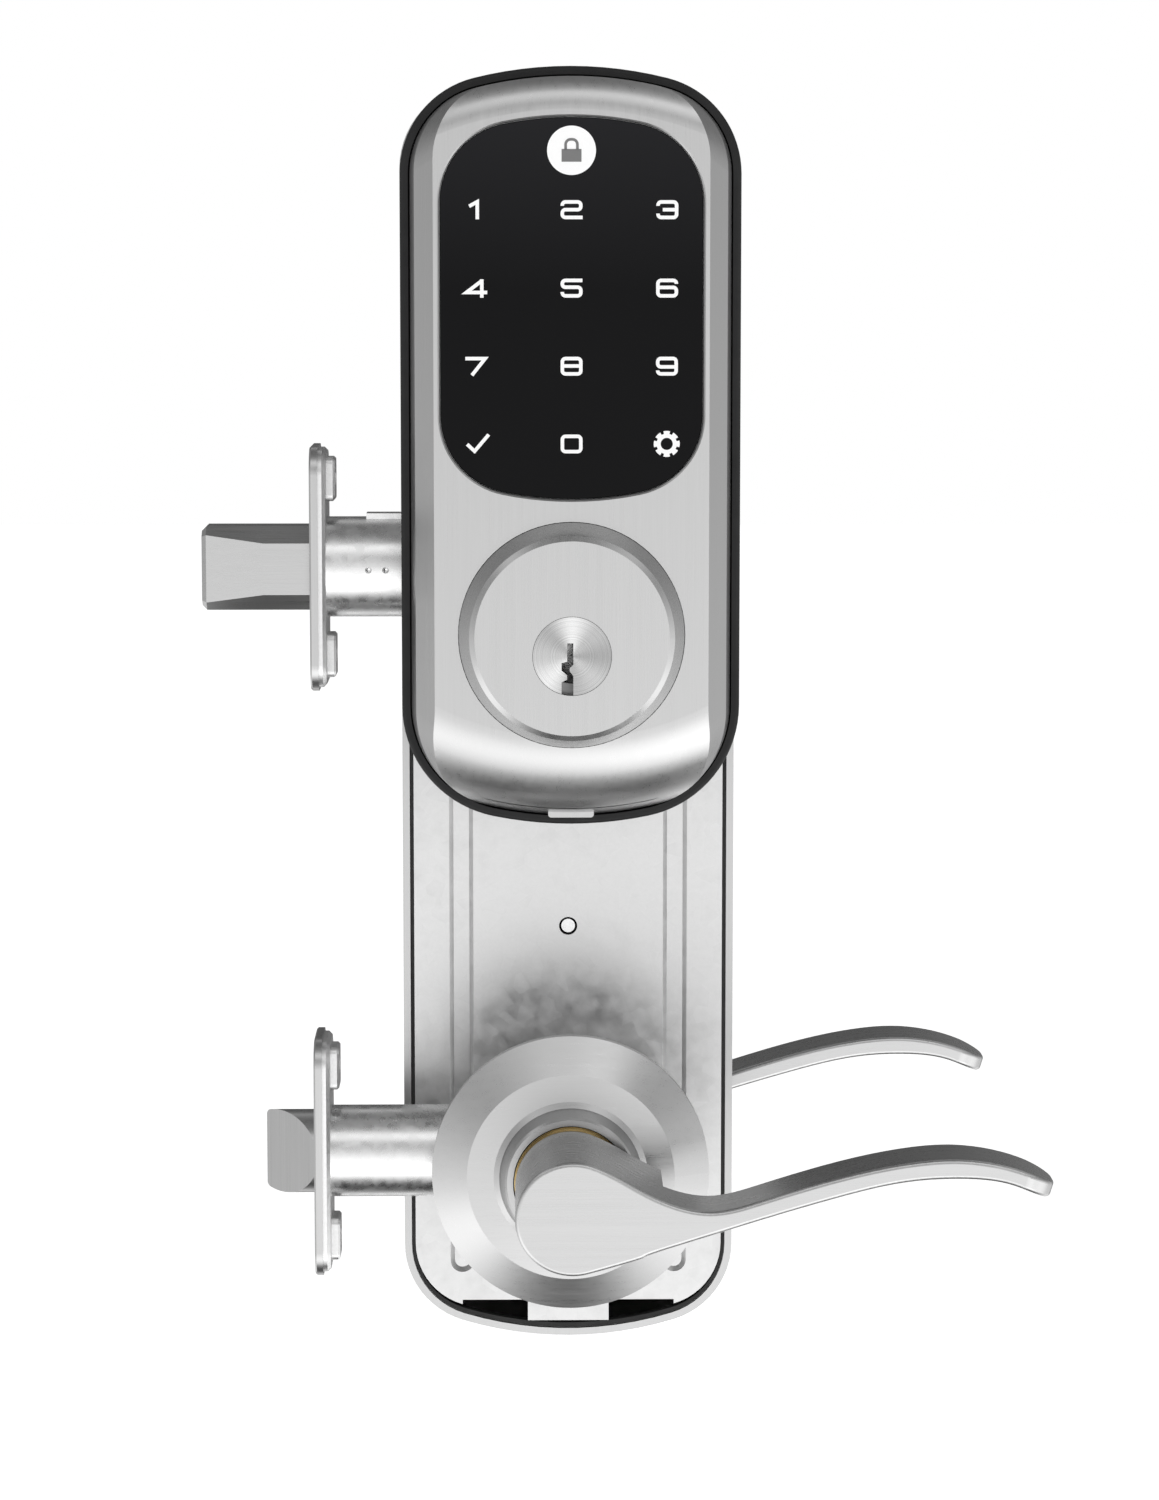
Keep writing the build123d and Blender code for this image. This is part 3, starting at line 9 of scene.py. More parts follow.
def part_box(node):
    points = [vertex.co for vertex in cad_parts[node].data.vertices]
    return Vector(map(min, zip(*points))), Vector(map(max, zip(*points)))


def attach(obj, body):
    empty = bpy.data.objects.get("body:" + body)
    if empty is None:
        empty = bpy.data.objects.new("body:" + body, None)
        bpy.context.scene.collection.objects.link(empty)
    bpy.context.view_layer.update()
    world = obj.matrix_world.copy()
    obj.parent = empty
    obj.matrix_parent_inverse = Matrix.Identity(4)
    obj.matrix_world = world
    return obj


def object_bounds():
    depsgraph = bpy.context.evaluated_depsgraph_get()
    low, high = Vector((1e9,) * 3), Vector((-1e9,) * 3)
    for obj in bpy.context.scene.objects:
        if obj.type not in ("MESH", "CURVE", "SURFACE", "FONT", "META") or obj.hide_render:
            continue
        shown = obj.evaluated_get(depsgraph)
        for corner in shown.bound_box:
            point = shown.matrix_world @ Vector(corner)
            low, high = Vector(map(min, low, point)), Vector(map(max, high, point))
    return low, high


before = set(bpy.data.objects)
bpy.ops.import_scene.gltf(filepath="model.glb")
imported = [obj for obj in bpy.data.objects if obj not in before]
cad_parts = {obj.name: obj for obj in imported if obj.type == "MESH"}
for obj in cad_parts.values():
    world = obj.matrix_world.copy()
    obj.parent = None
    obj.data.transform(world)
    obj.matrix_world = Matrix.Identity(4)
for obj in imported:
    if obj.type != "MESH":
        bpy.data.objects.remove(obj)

bl_info = {
    "name": "Keypad Door Lock",
    "version": (1, 0, 0),
    "blender": (4, 5, 0),
    "location": "View3D > Sidebar > Door Lock",
    "description": "Finishes, panel markings and studio for an interconnected keypad door lock",
    "category": "Object",
}

CAD_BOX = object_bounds()


# ------------------------------------------------------------------ settings
def colour(label, text, default):
    return FloatVectorProperty(
        name=label, description=text, default=default, size=3, min=0.0, max=1.0, subtype="COLOR"
    )


def length(label, text, default):
    return FloatProperty(
        name=label, description=text, default=default, min=0.0, precision=5, unit="LENGTH"
    )


class LockFinishes(bpy.types.PropertyGroup):
    """Colours of the lock's finishes."""

    satin: colour("Satin nickel", "Covers, rose and levers", (0.46, 0.46, 0.46))
    zinc: colour("Zinc plate", "Tubes and rear faceplates", (0.70, 0.70, 0.70))
    sheet: colour("Galvanised sheet", "Inside mounting plate", (0.57, 0.57, 0.57))
    steel: colour("Bare steel", "Shafts, cams and screws", (0.46, 0.46, 0.46))
    brass: colour("Brass", "Cylinder, pins and bushing", (0.72, 0.52, 0.24))
    rim: colour("Black rim", "Moulded base of the keypad", (0.014, 0.014, 0.0145))
    rubber: colour("Rubber", "Gaskets", (0.012, 0.012, 0.012))
    panel: colour("Touch panel", "Black glass", (0.0045, 0.0045, 0.005))
    marking: colour("Marking", "Digits and symbols on the panel", (0.93, 0.93, 0.93))
    mark_grey: colour("Badge symbol", "Padlock on the white badge", (0.16, 0.16, 0.16))
    board: colour("Circuit board", "Solder mask", (0.015, 0.11, 0.04))
    nylon: colour("Nylon", "Gears", (0.72, 0.72, 0.68))
    moulding: colour("Cream moulding", "Gear carrier and sockets", (0.62, 0.58, 0.48))
    cell_dark: colour("Cell sleeve", "Long part of a cell's sleeve", (0.02, 0.02, 0.022))
    cell_band: colour("Cell band", "Band at a cell's end", (0.62, 0.40, 0.12))


class LockMarkings(bpy.types.PropertyGroup):
    """Sizes of the printed markings."""

    row_top: length("Top row", "Height of the top row of digits", 0.2224)
    row_pitch: length("Row pitch", "Distance between rows", 0.01725)
    column_pitch: length("Column pitch", "Distance between columns", 0.0212)
    stroke: length("Stroke", "Width of a digit's stroke", 0.00078)
    badge_height: length("Badge height", "Height of the badge's centre", 0.2354)
    badge_radius: length("Badge radius", "Radius of the badge", 0.0054)
    lift: length("Lift", "How far the print stands proud of the glass", 0.00004)


class LockStudio(bpy.types.PropertyGroup):
    """Camera and light."""

    eye: FloatVectorProperty(
        name="Camera", description="Camera position", default=(-0.01159, -0.97383, 0.2164),
        size=3, unit="LENGTH",
    )
    pitch: FloatProperty(name="Pitch", description="Camera tilt below level", default=0.1228, unit="ROTATION")
    yaw: FloatProperty(name="Yaw", description="Camera turn towards +X", default=0.0144, unit="ROTATION")
    focal: FloatProperty(name="Focal length", description="Lens focal length in millimetres", default=99.756)
    key_power: FloatProperty(
        name="Key power", description="Power of the overhead softbox", default=0.8, unit="POWER"
    )
    backdrop: colour("Backdrop", "Pale surroundings", (1.0, 1.0, 1.0))


# ------------------------------------------------------------------ materials
def multiply(tree, first, second):
    """Product of two colours."""
    product = tree.nodes.new("ShaderNodeMix")
    product.data_type = "RGBA"
    product.blend_type = "MULTIPLY"
    product.inputs["Factor"].default_value = 1.0
    tree.links.new(first, product.inputs["A"])
    tree.links.new(second, product.inputs["B"])
    return product.outputs["Result"]


class Finish:
    """One procedural material: a shader and the patterns that feed it."""

    def __init__(self, name, metallic, roughness, **sockets):
        self.material = bpy.data.materials.new(name)
        self.material.use_nodes = True
        self.tree = self.material.node_tree
        self.shader = self.tree.nodes["Principled BSDF"]
        self.shader.inputs["Metallic"].default_value = metallic
        self.shader.inputs["Roughness"].default_value = roughness
        for socket, value in sockets.items():
            self.shader.inputs[socket.replace("_", " ")].default_value = value
        self.place = self.tree.nodes.new("ShaderNodeTexCoord")

    def node(self, kind, **settings):
        made = self.tree.nodes.new(kind)
        for key, value in settings.items():
            setattr(made, key, value)
        return made

    def link(self, source, target):
        self.tree.links.new(source, target)
        return target.node

    def stretched(self, scale, centre=(0.0, 0.0, 0.0), turn=(0.0, 0.0, 0.0)):
        """Object coordinates in metres, centred, turned and multiplied by scale."""
        mapping = self.node("ShaderNodeMapping", vector_type="TEXTURE")
        mapping.inputs["Location"].default_value = centre
        mapping.inputs["Rotation"].default_value = turn
        mapping.inputs["Scale"].default_value = [1.0 / s for s in scale]
        self.link(self.place.outputs["Object"], mapping.inputs["Vector"])
        return mapping.outputs["Vector"]

    def noise(self, vector, scale=1.0, detail=2.0, roughness=0.5):
        made = self.node("ShaderNodeTexNoise")
        made.inputs["Scale"].default_value = scale
        made.inputs["Detail"].default_value = detail
        made.inputs["Roughness"].default_value = roughness
        self.link(vector, made.inputs["Vector"])
        return made.outputs["Fac"]

    def rings(self, centre, pitch):
        """Fine turned rings round an axis along Y."""
        flat = self.stretched((1.0, 1e-6, 1.0), centre)
        size = self.node("ShaderNodeVectorMath", operation="LENGTH")
        self.link(flat, size.inputs[0])
        turns = self.node("ShaderNodeTexNoise", noise_dimensions="1D")
        turns.inputs["Scale"].default_value = 1.0 / pitch
        turns.inputs["Detail"].default_value = 3.0
        self.link(size.outputs["Value"], turns.inputs["W"])
        return turns.outputs["Fac"]

    def cells(self, vector, scale):
        made = self.node("ShaderNodeTexVoronoi")
        made.inputs["Scale"].default_value = scale
        self.link(vector, made.inputs["Vector"])
        return made

    def ramp(self, value, stops, target=None, smooth=False):
        """Colour ramp; each stop is (position, colour)."""
        made = self.node("ShaderNodeValToRGB")
        made.color_ramp.interpolation = "EASE" if smooth else "LINEAR"
        points = made.color_ramp.elements
        while len(points) < len(stops):
            points.new(0.5)
        for point, (position, shade) in zip(points, stops):
            point.position = position
            point.color = (*shade, 1.0)
        self.link(value, made.inputs["Fac"])
        if target:
            self.link(made.outputs["Color"], self.shader.inputs[target])
        return made.outputs["Color"]

    def between(self, value, low, high, target=None):
        """Value from 0.3 to 0.7 spread from low to high."""
        made = self.node("ShaderNodeMapRange")
        made.inputs["From Min"].default_value = 0.3
        made.inputs["From Max"].default_value = 0.7
        made.inputs["To Min"].default_value = low
        made.inputs["To Max"].default_value = high
        self.link(value, made.inputs["Value"])
        if target:
            self.link(made.outputs["Result"], self.shader.inputs[target])
        return made.outputs["Result"]

    def tinted(self, value, base, spread, target="Base Color"):
        """Base colour varied by spread either way."""
        darker = [c * (1.0 - spread) for c in base]
        lighter = [min(1.0, c * (1.0 + spread)) for c in base]
        return self.ramp(value, [(0.3, darker), (0.7, lighter)], target)

    def bump(self, height, depth, strength=1.0, onto=None):
        made = self.node("ShaderNodeBump")
        made.inputs["Strength"].default_value = strength
        made.inputs["Distance"].default_value = depth
        self.link(height, made.inputs["Height"])
        if onto:
            self.link(onto, made.inputs["Normal"])
        self.link(made.outputs["Normal"], self.shader.inputs["Normal"])
        return made.outputs["Normal"]


def brushed(name, base, along, roughness, fine=5200.0, spread=0.05, depth=4e-6, turn=(0.0, 0.0, 0.0)):
    """Satin metal with its grain along one axis."""
    finish = Finish(name, 1.0, roughness)
    long_way, across = fine / 110.0, fine
    scale = [long_way if axis == along else across for axis in "XYZ"]
    lines = finish.noise(finish.stretched(scale, turn=turn), detail=3.0, roughness=0.7)
    broad_scale = [s / 7.0 for s in scale]
    streaks = finish.noise(finish.stretched(broad_scale, turn=turn), detail=2.0)
    both = finish.node("ShaderNodeMath", operation="MULTIPLY_ADD")
    finish.link(lines, both.inputs[0])
    both.inputs[1].default_value = 0.6
    half = finish.node("ShaderNodeMath", operation="MULTIPLY")
    half.inputs[1].default_value = 0.4
    finish.link(streaks, half.inputs[0])
    finish.link(half.outputs["Value"], both.inputs[2])
    finish.tinted(both.outputs["Value"], base, spread)
    finish.between(both.outputs["Value"], roughness - 0.05, roughness + 0.07, "Roughness")
    finish.bump(lines, depth)
    return finish.material


def turned_metal_painted_fan(name, base, centre, roughness, pitch=0.00035, spread=0.05, depth=6e-6):
    """Metal turned on a lathe about an axis along Y, with a painted highlight fan in its colour by angle
    round the axis.
    """
    finish = Finish(name, 1.0, roughness)
    rings = finish.rings(centre, pitch)
    angle = finish.node("ShaderNodeTexGradient", gradient_type="RADIAL")
    finish.link(finish.stretched((1.0, 1.0, 1.0), centre, (math.pi / 2, 0.0, 0.0)), angle.inputs["Vector"])
    # Painted highlight and shade: lighter and darker sectors by angle round the axis, multiplied into the
    # base colour; they turn with the part.
    painted_fan_levels = [0.95, 1.35, 0.72, 0.95, 0.68, 0.85, 1.35, 0.72, 0.95]
    stops = [(place / 8.0, (shade / 1.4,) * 3) for place, shade in enumerate(painted_fan_levels)]
    painted_highlight_fan = finish.ramp(angle.outputs["Fac"], stops, smooth=True)
    tint = finish.tinted(rings, [min(1.0, c * 1.4) for c in base], spread, None)
    finish.link(multiply(finish.tree, tint, painted_highlight_fan), finish.shader.inputs["Base Color"])
    finish.between(rings, roughness - 0.05, roughness + 0.08, "Roughness")
    finish.bump(rings, depth)
    round_axis = finish.node("ShaderNodeTangent", direction_type="RADIAL", axis="Y")
    finish.link(round_axis.outputs["Tangent"], finish.shader.inputs["Tangent"])
    finish.shader.inputs["Anisotropic"].default_value = 0.75
    return finish.material


def mottled_metal(name, base, roughness, patch, spread, depth=1.2e-5):
    """Plated or galvanised sheet with soft crystal patches."""
    finish = Finish(name, 1.0, roughness)
    vector = finish.stretched((1.0, 1.0, 1.0))
    clouds = finish.noise(vector, 1.0 / patch, 4.0, 0.6)
    crystals = finish.cells(vector, 1.6 / patch)
    both = finish.node("ShaderNodeMix", data_type="FLOAT")
    both.inputs["Factor"].default_value = 0.14
    finish.link(clouds, both.inputs["A"])
    grey = finish.node("ShaderNodeSeparateColor")
    finish.link(crystals.outputs["Color"], grey.inputs["Color"])
    finish.link(grey.outputs["Red"], both.inputs["B"])
    finish.tinted(both.outputs["Result"], base, spread)
    finish.between(both.outputs["Result"], roughness - 0.08, roughness + 0.12, "Roughness")
    finish.bump(finish.noise(vector, 6.0 / patch, 3.0), depth)
    return finish.material


def moulded(name, base, roughness, texture=0.0006, depth=2e-5, **sockets):
    """Moulded plastic or rubber with a fine spark texture."""
    finish = Finish(name, 0.0, roughness, **sockets)
    vector = finish.stretched((1.0, 1.0, 1.0))
    finish.tinted(finish.noise(vector, 1.0 / (texture * 14), 3.0), base, 0.12)
    patches = finish.noise(vector, 1.0 / (texture * 6), 2.0)
    finish.between(patches, roughness - 0.06, roughness + 0.06, "Roughness")
    finish.bump(finish.noise(vector, 1.0 / texture, 3.0, 0.7), depth)
    return finish.material


def panel_glass(base):
    """Black touch glass with a painted reflection that lightens it towards its top, and faint smears."""
    finish = Finish("touch_glass", 0.0, 0.16, Specular_IOR_Level=0.07)
    high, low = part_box("touchscreen_lens")[1].z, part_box("touchscreen_lens")[0].z
    parts = finish.node("ShaderNodeSeparateXYZ")
    finish.link(finish.place.outputs["Object"], parts.inputs["Vector"])
    rise = finish.node("ShaderNodeMapRange")
    rise.inputs["From Min"].default_value = low
    rise.inputs["From Max"].default_value = high
    finish.link(parts.outputs["Z"], rise.inputs["Value"])
    # Painted reflection: the base colour grows up to 3.2 times lighter over the top part of the glass.
    finish.ramp(
        rise.outputs["Result"],
        [(0.0, base), (0.55, base), (1.0, [c * 3.2 for c in base])],
        "Base Color",
    )
    smears = finish.noise(finish.stretched((90.0, 90.0, 30.0)), 1.0, 5.0)
    finish.between(smears, 0.13, 0.22, "Roughness")
    return finish.material


def printed(name, base):
    """Screen-printed ink."""
    finish = Finish(name, 0.0, 0.45)
    grain = finish.noise(finish.stretched((1.0, 1.0, 1.0)), 9000.0, 2.0)
    finish.tinted(grain, base, 0.03)
    finish.bump(grain, 4e-6)
    return finish.material


def solder_mask(base):
    """Circuit board with copper tracks under its lacquer."""
    finish = Finish("solder_mask", 0.0, 0.35, Coat_Weight=0.4)
    tracks = finish.node("ShaderNodeTexBrick", offset=0.35)
    tracks.inputs["Scale"].default_value = 1.0
    tracks.inputs["Mortar Size"].default_value = 0.06
    tracks.inputs["Color1"].default_value = (*base, 1.0)
    tracks.inputs["Color2"].default_value = (*[c * 0.8 for c in base], 1.0)
    tracks.inputs["Mortar"].default_value = (*[min(1.0, c * 2.4) for c in base], 1.0)
    upright = finish.stretched((260.0, 260.0, 260.0), turn=(math.pi / 2, 0.0, 0.0))
    finish.link(upright, tracks.inputs["Vector"])
    finish.link(tracks.outputs["Color"], finish.shader.inputs["Base Color"])
    finish.bump(tracks.outputs["Fac"], 2e-5)
    return finish.material


def cell_sleeve(name, dark, band, node, band_low):
    """Printed sleeve of a cell: a dark length and a coloured band at one end."""
    finish = Finish(name, 0.0, 0.3, Coat_Weight=0.5)
    low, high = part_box(node)
    parts = finish.node("ShaderNodeSeparateXYZ")
    finish.link(finish.place.outputs["Object"], parts.inputs["Vector"])
    rise = finish.node("ShaderNodeMapRange")
    rise.inputs["From Min"].default_value = low.z
    rise.inputs["From Max"].default_value = high.z
    finish.link(parts.outputs["Z"], rise.inputs["Value"])
    cap = (0.55, 0.55, 0.54)
    lower, upper = (band, dark) if band_low else (dark, band)
    change = (0.29, 0.30) if band_low else (0.71, 0.72)
    stops = [
        (0.0, cap), (0.018, cap), (0.022, lower), (change[0], lower),
        (change[1], upper), (0.975, upper), (0.98, cap), (1.0, cap),
    ]
    finish.ramp(rise.outputs["Result"], stops, "Base Color")
    finish.bump(finish.noise(finish.stretched((1.0, 1.0, 1.0)), 900.0, 3.0), 8e-6)
    return finish.material


def cover(node_names, material):
    """Gives CAD nodes their finish."""
    for name in node_names:
        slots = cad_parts[name].data.materials
        slots.clear()
        slots.append(material)


# ------------------------------------------------------------------ panel markings
GLYPHS = {
    "digit_1": [[(-1.45, 0.75), (0.35, 1.72), (0.35, -2.1)]],
    "digit_2": [
        [(-2.05, 0.85), (-2.05, 1.7), (2.05, 1.7), (2.05, 0.0), (-2.05, 0.0), (-2.05, -1.7), (2.45, -1.7)]
    ],
    "digit_3": [
        [(-2.05, 0.85), (-2.05, 1.7), (2.05, 1.7), (2.05, -1.7), (-2.05, -1.7), (-2.05, -0.85)],
        [(-1.0, 0.0), (2.05, 0.0)],
    ],
    "digit_4": [[(1.3, 1.62), (-2.1, -0.95), (2.5, -0.95)], [(1.3, -2.1), (1.3, 1.95)]],
    "digit_5": [
        [(2.4, 1.7), (-2.05, 1.7), (-2.05, 0.2), (2.05, 0.2), (2.05, -1.7), (-2.05, -1.7), (-2.05, -0.85)]
    ],
    "digit_6": [
        [(2.05, 0.95), (2.05, 1.7), (-2.05, 1.7), (-2.05, -1.7), (0.1, -1.7)],
        [(0.0, -1.7), (2.05, -1.7), (2.05, 0.15), (-2.0, 0.15)],
    ],
    "digit_7": [[(-2.4, 1.7), (2.0, 1.7), (-0.95, -2.0)]],
    "digit_8": [
        [(-2.05, 1.7), (2.05, 1.7), (2.05, -1.7), (-2.05, -1.7), (-2.05, 1.7)],
        [(-2.05, 0.05), (2.05, 0.05)],
    ],
    "digit_9": [
        [(-2.05, -0.95), (-2.05, -1.7), (2.05, -1.7), (2.05, 1.7), (-0.1, 1.7)],
        [(0.0, 1.7), (-2.05, 1.7), (-2.05, -0.15), (2.0, -0.15)],
    ],
    "tick": [[(-2.05, -0.05), (-0.4, -1.6), (2.75, 2.1)]],
    "digit_0": [[(-2.05, 1.7), (2.05, 1.7), (2.05, -1.7), (-2.05, -1.7), (-2.05, 1.7)]],
}
SHARP_GLYPHS = ("tick", "digit_7", "digit_1", "digit_4")
CORNER_ROUNDING = 0.0007
GEAR_HOLE, GEAR_BODY, GEAR_TIP = 0.00135, 0.00228, 0.0029
LAYOUT = [
    ["digit_1", "digit_2", "digit_3"],
    ["digit_4", "digit_5", "digit_6"],
    ["digit_7", "digit_8", "digit_9"],
    ["tick", "digit_0", "settings_gear"],
]


def panel_face():
    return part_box("touchscreen_lens")[0].y


def finished_piece(name, shape, material):
    """Turns a bmesh into an object that rides on the lock's fixed body."""
    bmesh.ops.recalc_face_normals(shape, faces=shape.faces)
    mesh = bpy.data.meshes.new(name)
    shape.to_mesh(mesh)
    shape.free()
    mesh.materials.append(material)
    piece = bpy.data.objects.new(name, mesh)
    bpy.context.scene.collection.objects.link(piece)
    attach(piece, "lock")
    return piece


def draw_path(shape, points, place, rounding, depth):
    """Adds a thin standing strip along a path, with rounded corners; its thickness comes later."""
    x, y, z = place
    closed = points[0] == points[-1]
    corners = points[:-1] if closed else points
    path = [shape.verts.new((x + u / 1000.0, y, z + v / 1000.0)) for u, v in corners]
    ends = path[1:] + path[:1] if closed else path[1:]
    wires = [shape.edges.new(pair) for pair in zip(path, ends)]
    turns = path if closed else path[1:-1]
    if rounding:
        bmesh.ops.bevel(
            shape, geom=turns, offset=rounding, offset_type="OFFSET", affect="VERTICES",
            segments=5, profile=0.5, material=-1,
        )
    wires = [e for e in shape.edges if e.is_wire]
    raised = bmesh.ops.extrude_edge_only(shape, edges=wires)["geom"]
    lifted = [g for g in raised if isinstance(g, bmesh.types.BMVert)]
    bmesh.ops.translate(shape, verts=lifted, vec=(0.0, -depth, 0.0))


def stroke_piece(name, paths, place, width, depth, rounding, material):
    """One printed symbol made of strokes of even width."""
    shape = bmesh.new()
    for layer, points in enumerate(paths):
        draw_path(shape, points, place, rounding, depth * (1.0 + 0.3 * layer))
    piece = finished_piece(name, shape, material)
    thick = piece.modifiers.new("stroke", "SOLIDIFY")
    thick.thickness = width
    thick.offset = 0.0
    thick.use_even_offset = True
    return piece


def stand_on_panel(shape, lift, x, z):
    """Thickens a flat symbol, stands it upright and puts it on the touch panel."""
    bmesh.ops.solidify(shape, geom=list(shape.faces), thickness=lift)
    bmesh.ops.rotate(
        shape, verts=shape.verts, cent=(0, 0, 0), matrix=Matrix.Rotation(math.pi / 2, 3, "X")
    )
    low = min(v.co.y for v in shape.verts)
    bmesh.ops.translate(shape, verts=shape.verts, vec=(x, panel_face() - lift - low, z))


class LOCK_OT_panel_digits(bpy.types.Operator):
    """Print the digits and the tick on the touch panel"""

    bl_idname = "door_lock.panel_digits"
    bl_label = "Panel digits"

    def execute(self, context):
        sizes = context.scene.lock_markings
        ink = printed("white_ink", context.scene.lock_finishes.marking)
        for row, names in enumerate(LAYOUT):
            for column, name in enumerate(names):
                if name not in GLYPHS:
                    continue
                x = (column - 1) * sizes.column_pitch
                z = sizes.row_top - row * sizes.row_pitch
                rounding = 0.0 if name in SHARP_GLYPHS else CORNER_ROUNDING
                place = (x, panel_face(), z)
                stroke_piece(name, GLYPHS[name], place, sizes.stroke, sizes.lift, rounding, ink)
        return {"FINISHED"}


class LOCK_OT_settings_gear(bpy.types.Operator):
    """Print the gear symbol on the touch panel"""

    bl_idname = "door_lock.settings_gear"
    bl_label = "Settings symbol"

    def execute(self, context):
        sizes = context.scene.lock_markings
        teeth, segments = 8, 48
        shape = bmesh.new()
        bmesh.ops.create_circle(shape, cap_ends=False, radius=GEAR_HOLE, segments=segments)
        inner = list(shape.edges)
        ring = bmesh.ops.extrude_edge_only(shape, edges=inner)["geom"]
        outer = [g for g in ring if isinstance(g, bmesh.types.BMVert)]
        bmesh.ops.scale(shape, verts=outer, vec=(GEAR_BODY / GEAR_HOLE,) * 3)
        rim = [e for e in shape.edges if e.verts[0] in outer and e.verts[1] in outer]
        step = 2 * math.pi / teeth

        def in_tooth(edge):
            middle = (edge.verts[0].co + edge.verts[1].co) / 2
            angle = math.atan2(middle.y, middle.x) % step
            return min(angle, step - angle) < step * 0.26

        tips = bmesh.ops.extrude_edge_only(shape, edges=[e for e in rim if in_tooth(e)])["geom"]
        points = [g for g in tips if isinstance(g, bmesh.types.BMVert)]
        bmesh.ops.scale(shape, verts=points, vec=(GEAR_TIP / GEAR_BODY,) * 3)
        stand_on_panel(shape, sizes.lift, sizes.column_pitch, sizes.row_top - 3 * sizes.row_pitch)
        finished_piece("settings_gear", shape, bpy.data.materials["white_ink"])
        return {"FINISHED"}


class LOCK_OT_badge(bpy.types.Operator):
    """Print the round badge with a plain padlock"""

    bl_idname = "door_lock.badge"
    bl_label = "Round badge"

    def execute(self, context):
        sizes = context.scene.lock_markings
        shape = bmesh.new()
        bmesh.ops.create_circle(shape, cap_ends=True, radius=sizes.badge_radius, segments=96)
        stand_on_panel(shape, sizes.lift, 0.0, sizes.badge_height)
        finished_piece("badge_disc", shape, bpy.data.materials["white_ink"])
        grey = printed("grey_ink", context.scene.lock_finishes.mark_grey)
        place = (0.0, panel_face() - sizes.lift, sizes.badge_height)
        shackle = [(-1.3, 0.2), (-1.3, 2.4), (1.3, 2.4), (1.3, 0.2)]
        stroke_piece("badge_shackle", [shackle], place, 0.0006, sizes.lift, 0.0011, grey)
        body = [(0.0, 0.3), (0.0, -2.5)]
        stroke_piece("badge_lock", [body], place, 0.0044, sizes.lift, 0.0, grey)
        return {"FINISHED"}


# ------------------------------------------------------------------ finishes
class LOCK_OT_keypad_cover(bpy.types.Operator):
    """Vertical satin grain on the keypad cover"""

    bl_idname = "door_lock.keypad_cover"
    bl_label = "Keypad cover"

    def execute(self, context):
        cover(["keypad_cover"], brushed("cover_satin", context.scene.lock_finishes.satin, "Z", 0.30))
        return {"FINISHED"}


class LOCK_OT_black_parts(bpy.types.Operator):
    """Moulded base, gaskets, battery tray and touch glass"""

    bl_idname = "door_lock.black_parts"
    bl_label = "Black parts"

    def execute(self, context):
        colours = context.scene.lock_finishes
        rim = moulded("rim_black", colours.rim, 0.5, Specular_IOR_Level=0.22)
        cover(["keypad_base", "battery_tray"], rim)
        rubber = moulded("gasket_rubber", colours.rubber, 0.7, 0.0009, 4e-5)
        cover(["keypad_gasket", "interior_gasket"], rubber)
        cover(["touchscreen_lens"], panel_glass(colours.panel))
        return {"FINISHED"}


class LOCK_OT_key_cylinder(bpy.types.Operator):
    """Guard, turned plug and the brass cylinder behind them"""

    bl_idname = "door_lock.key_cylinder"
    bl_label = "Key cylinder"

    def execute(self, context):
        colours = context.scene.lock_finishes
        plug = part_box("key_plug")
        axis = (0.0, 0.0, (plug[0].z + plug[1].z) / 2)
        cover(["cylinder_guard"], brushed("guard_satin", colours.satin, "Z", 0.27, fine=4600.0))
        cover(["key_plug"], turned_metal_painted_fan("plug_turned", colours.satin, axis, 0.24, 0.0003, 0.10, 1.4e-5))
        # The cylinder body gets half the steel colour: a darker plating that also stands in as painted shade
        # for the recess behind the guard.
        cover(["cylinder_body"], turned_metal_painted_fan("cylinder_steel", [c * 0.5 for c in colours.steel], axis, 0.35))
        cover(["key_pins", "driver_pins"], turned_metal_painted_fan("pin_brass", colours.brass, axis, 0.3))
        return {"FINISHED"}


class LOCK_OT_edge_bolts(bpy.types.Operator):
    """Deadbolt, latch, faceplates and tubes"""

    bl_idname = "door_lock.edge_bolts"
    bl_label = "Deadbolt and latch"

    def execute(self, context):
        colours = context.scene.lock_finishes
        cover(["deadbolt_bolt"], brushed("bolt_satin", colours.satin, "X", 0.28, spread=0.07))
        cover(["latch_bolt"], brushed("latch_satin", colours.satin, "Z", 0.3, fine=6000.0, spread=0.08))
        faceplate = brushed("faceplate_satin", colours.satin, "Z", 0.3)
        cover(["deadbolt_faceplate", "latch_faceplate"], faceplate)
        cover(
            ["deadbolt_tube", "latch_tube", "deadbolt_case", "latch_case", "rose_liner"],
            mottled_metal("tube_zinc", colours.zinc, 0.27, 0.0030, 0.08, 5e-6),
        )
        backplate = mottled_metal("backplate_zinc", colours.zinc, 0.38, 0.0012, 0.10)
        cover(["deadbolt_backplate", "latch_backplate"], backplate)
        return {"FINISHED"}


class LOCK_OT_lever_sets(bpy.types.Operator):
    """Levers, rose and the brass ring between them"""

    bl_idname = "door_lock.lever_sets"
    bl_label = "Lever sets"

    def execute(self, context):
        colours = context.scene.lock_finishes
        lever = brushed("lever_satin", colours.satin, "X", 0.28, fine=4800.0)
        cover(["exterior_lever", "interior_lever"], lever)
        cover(["rose"], brushed("rose_satin", colours.satin, "X", 0.3, fine=5000.0))
        cover(["exterior_bushing"], turned_metal_painted_fan("bushing_brass", colours.brass, (0, 0, 0), 0.28))
        return {"FINISHED"}


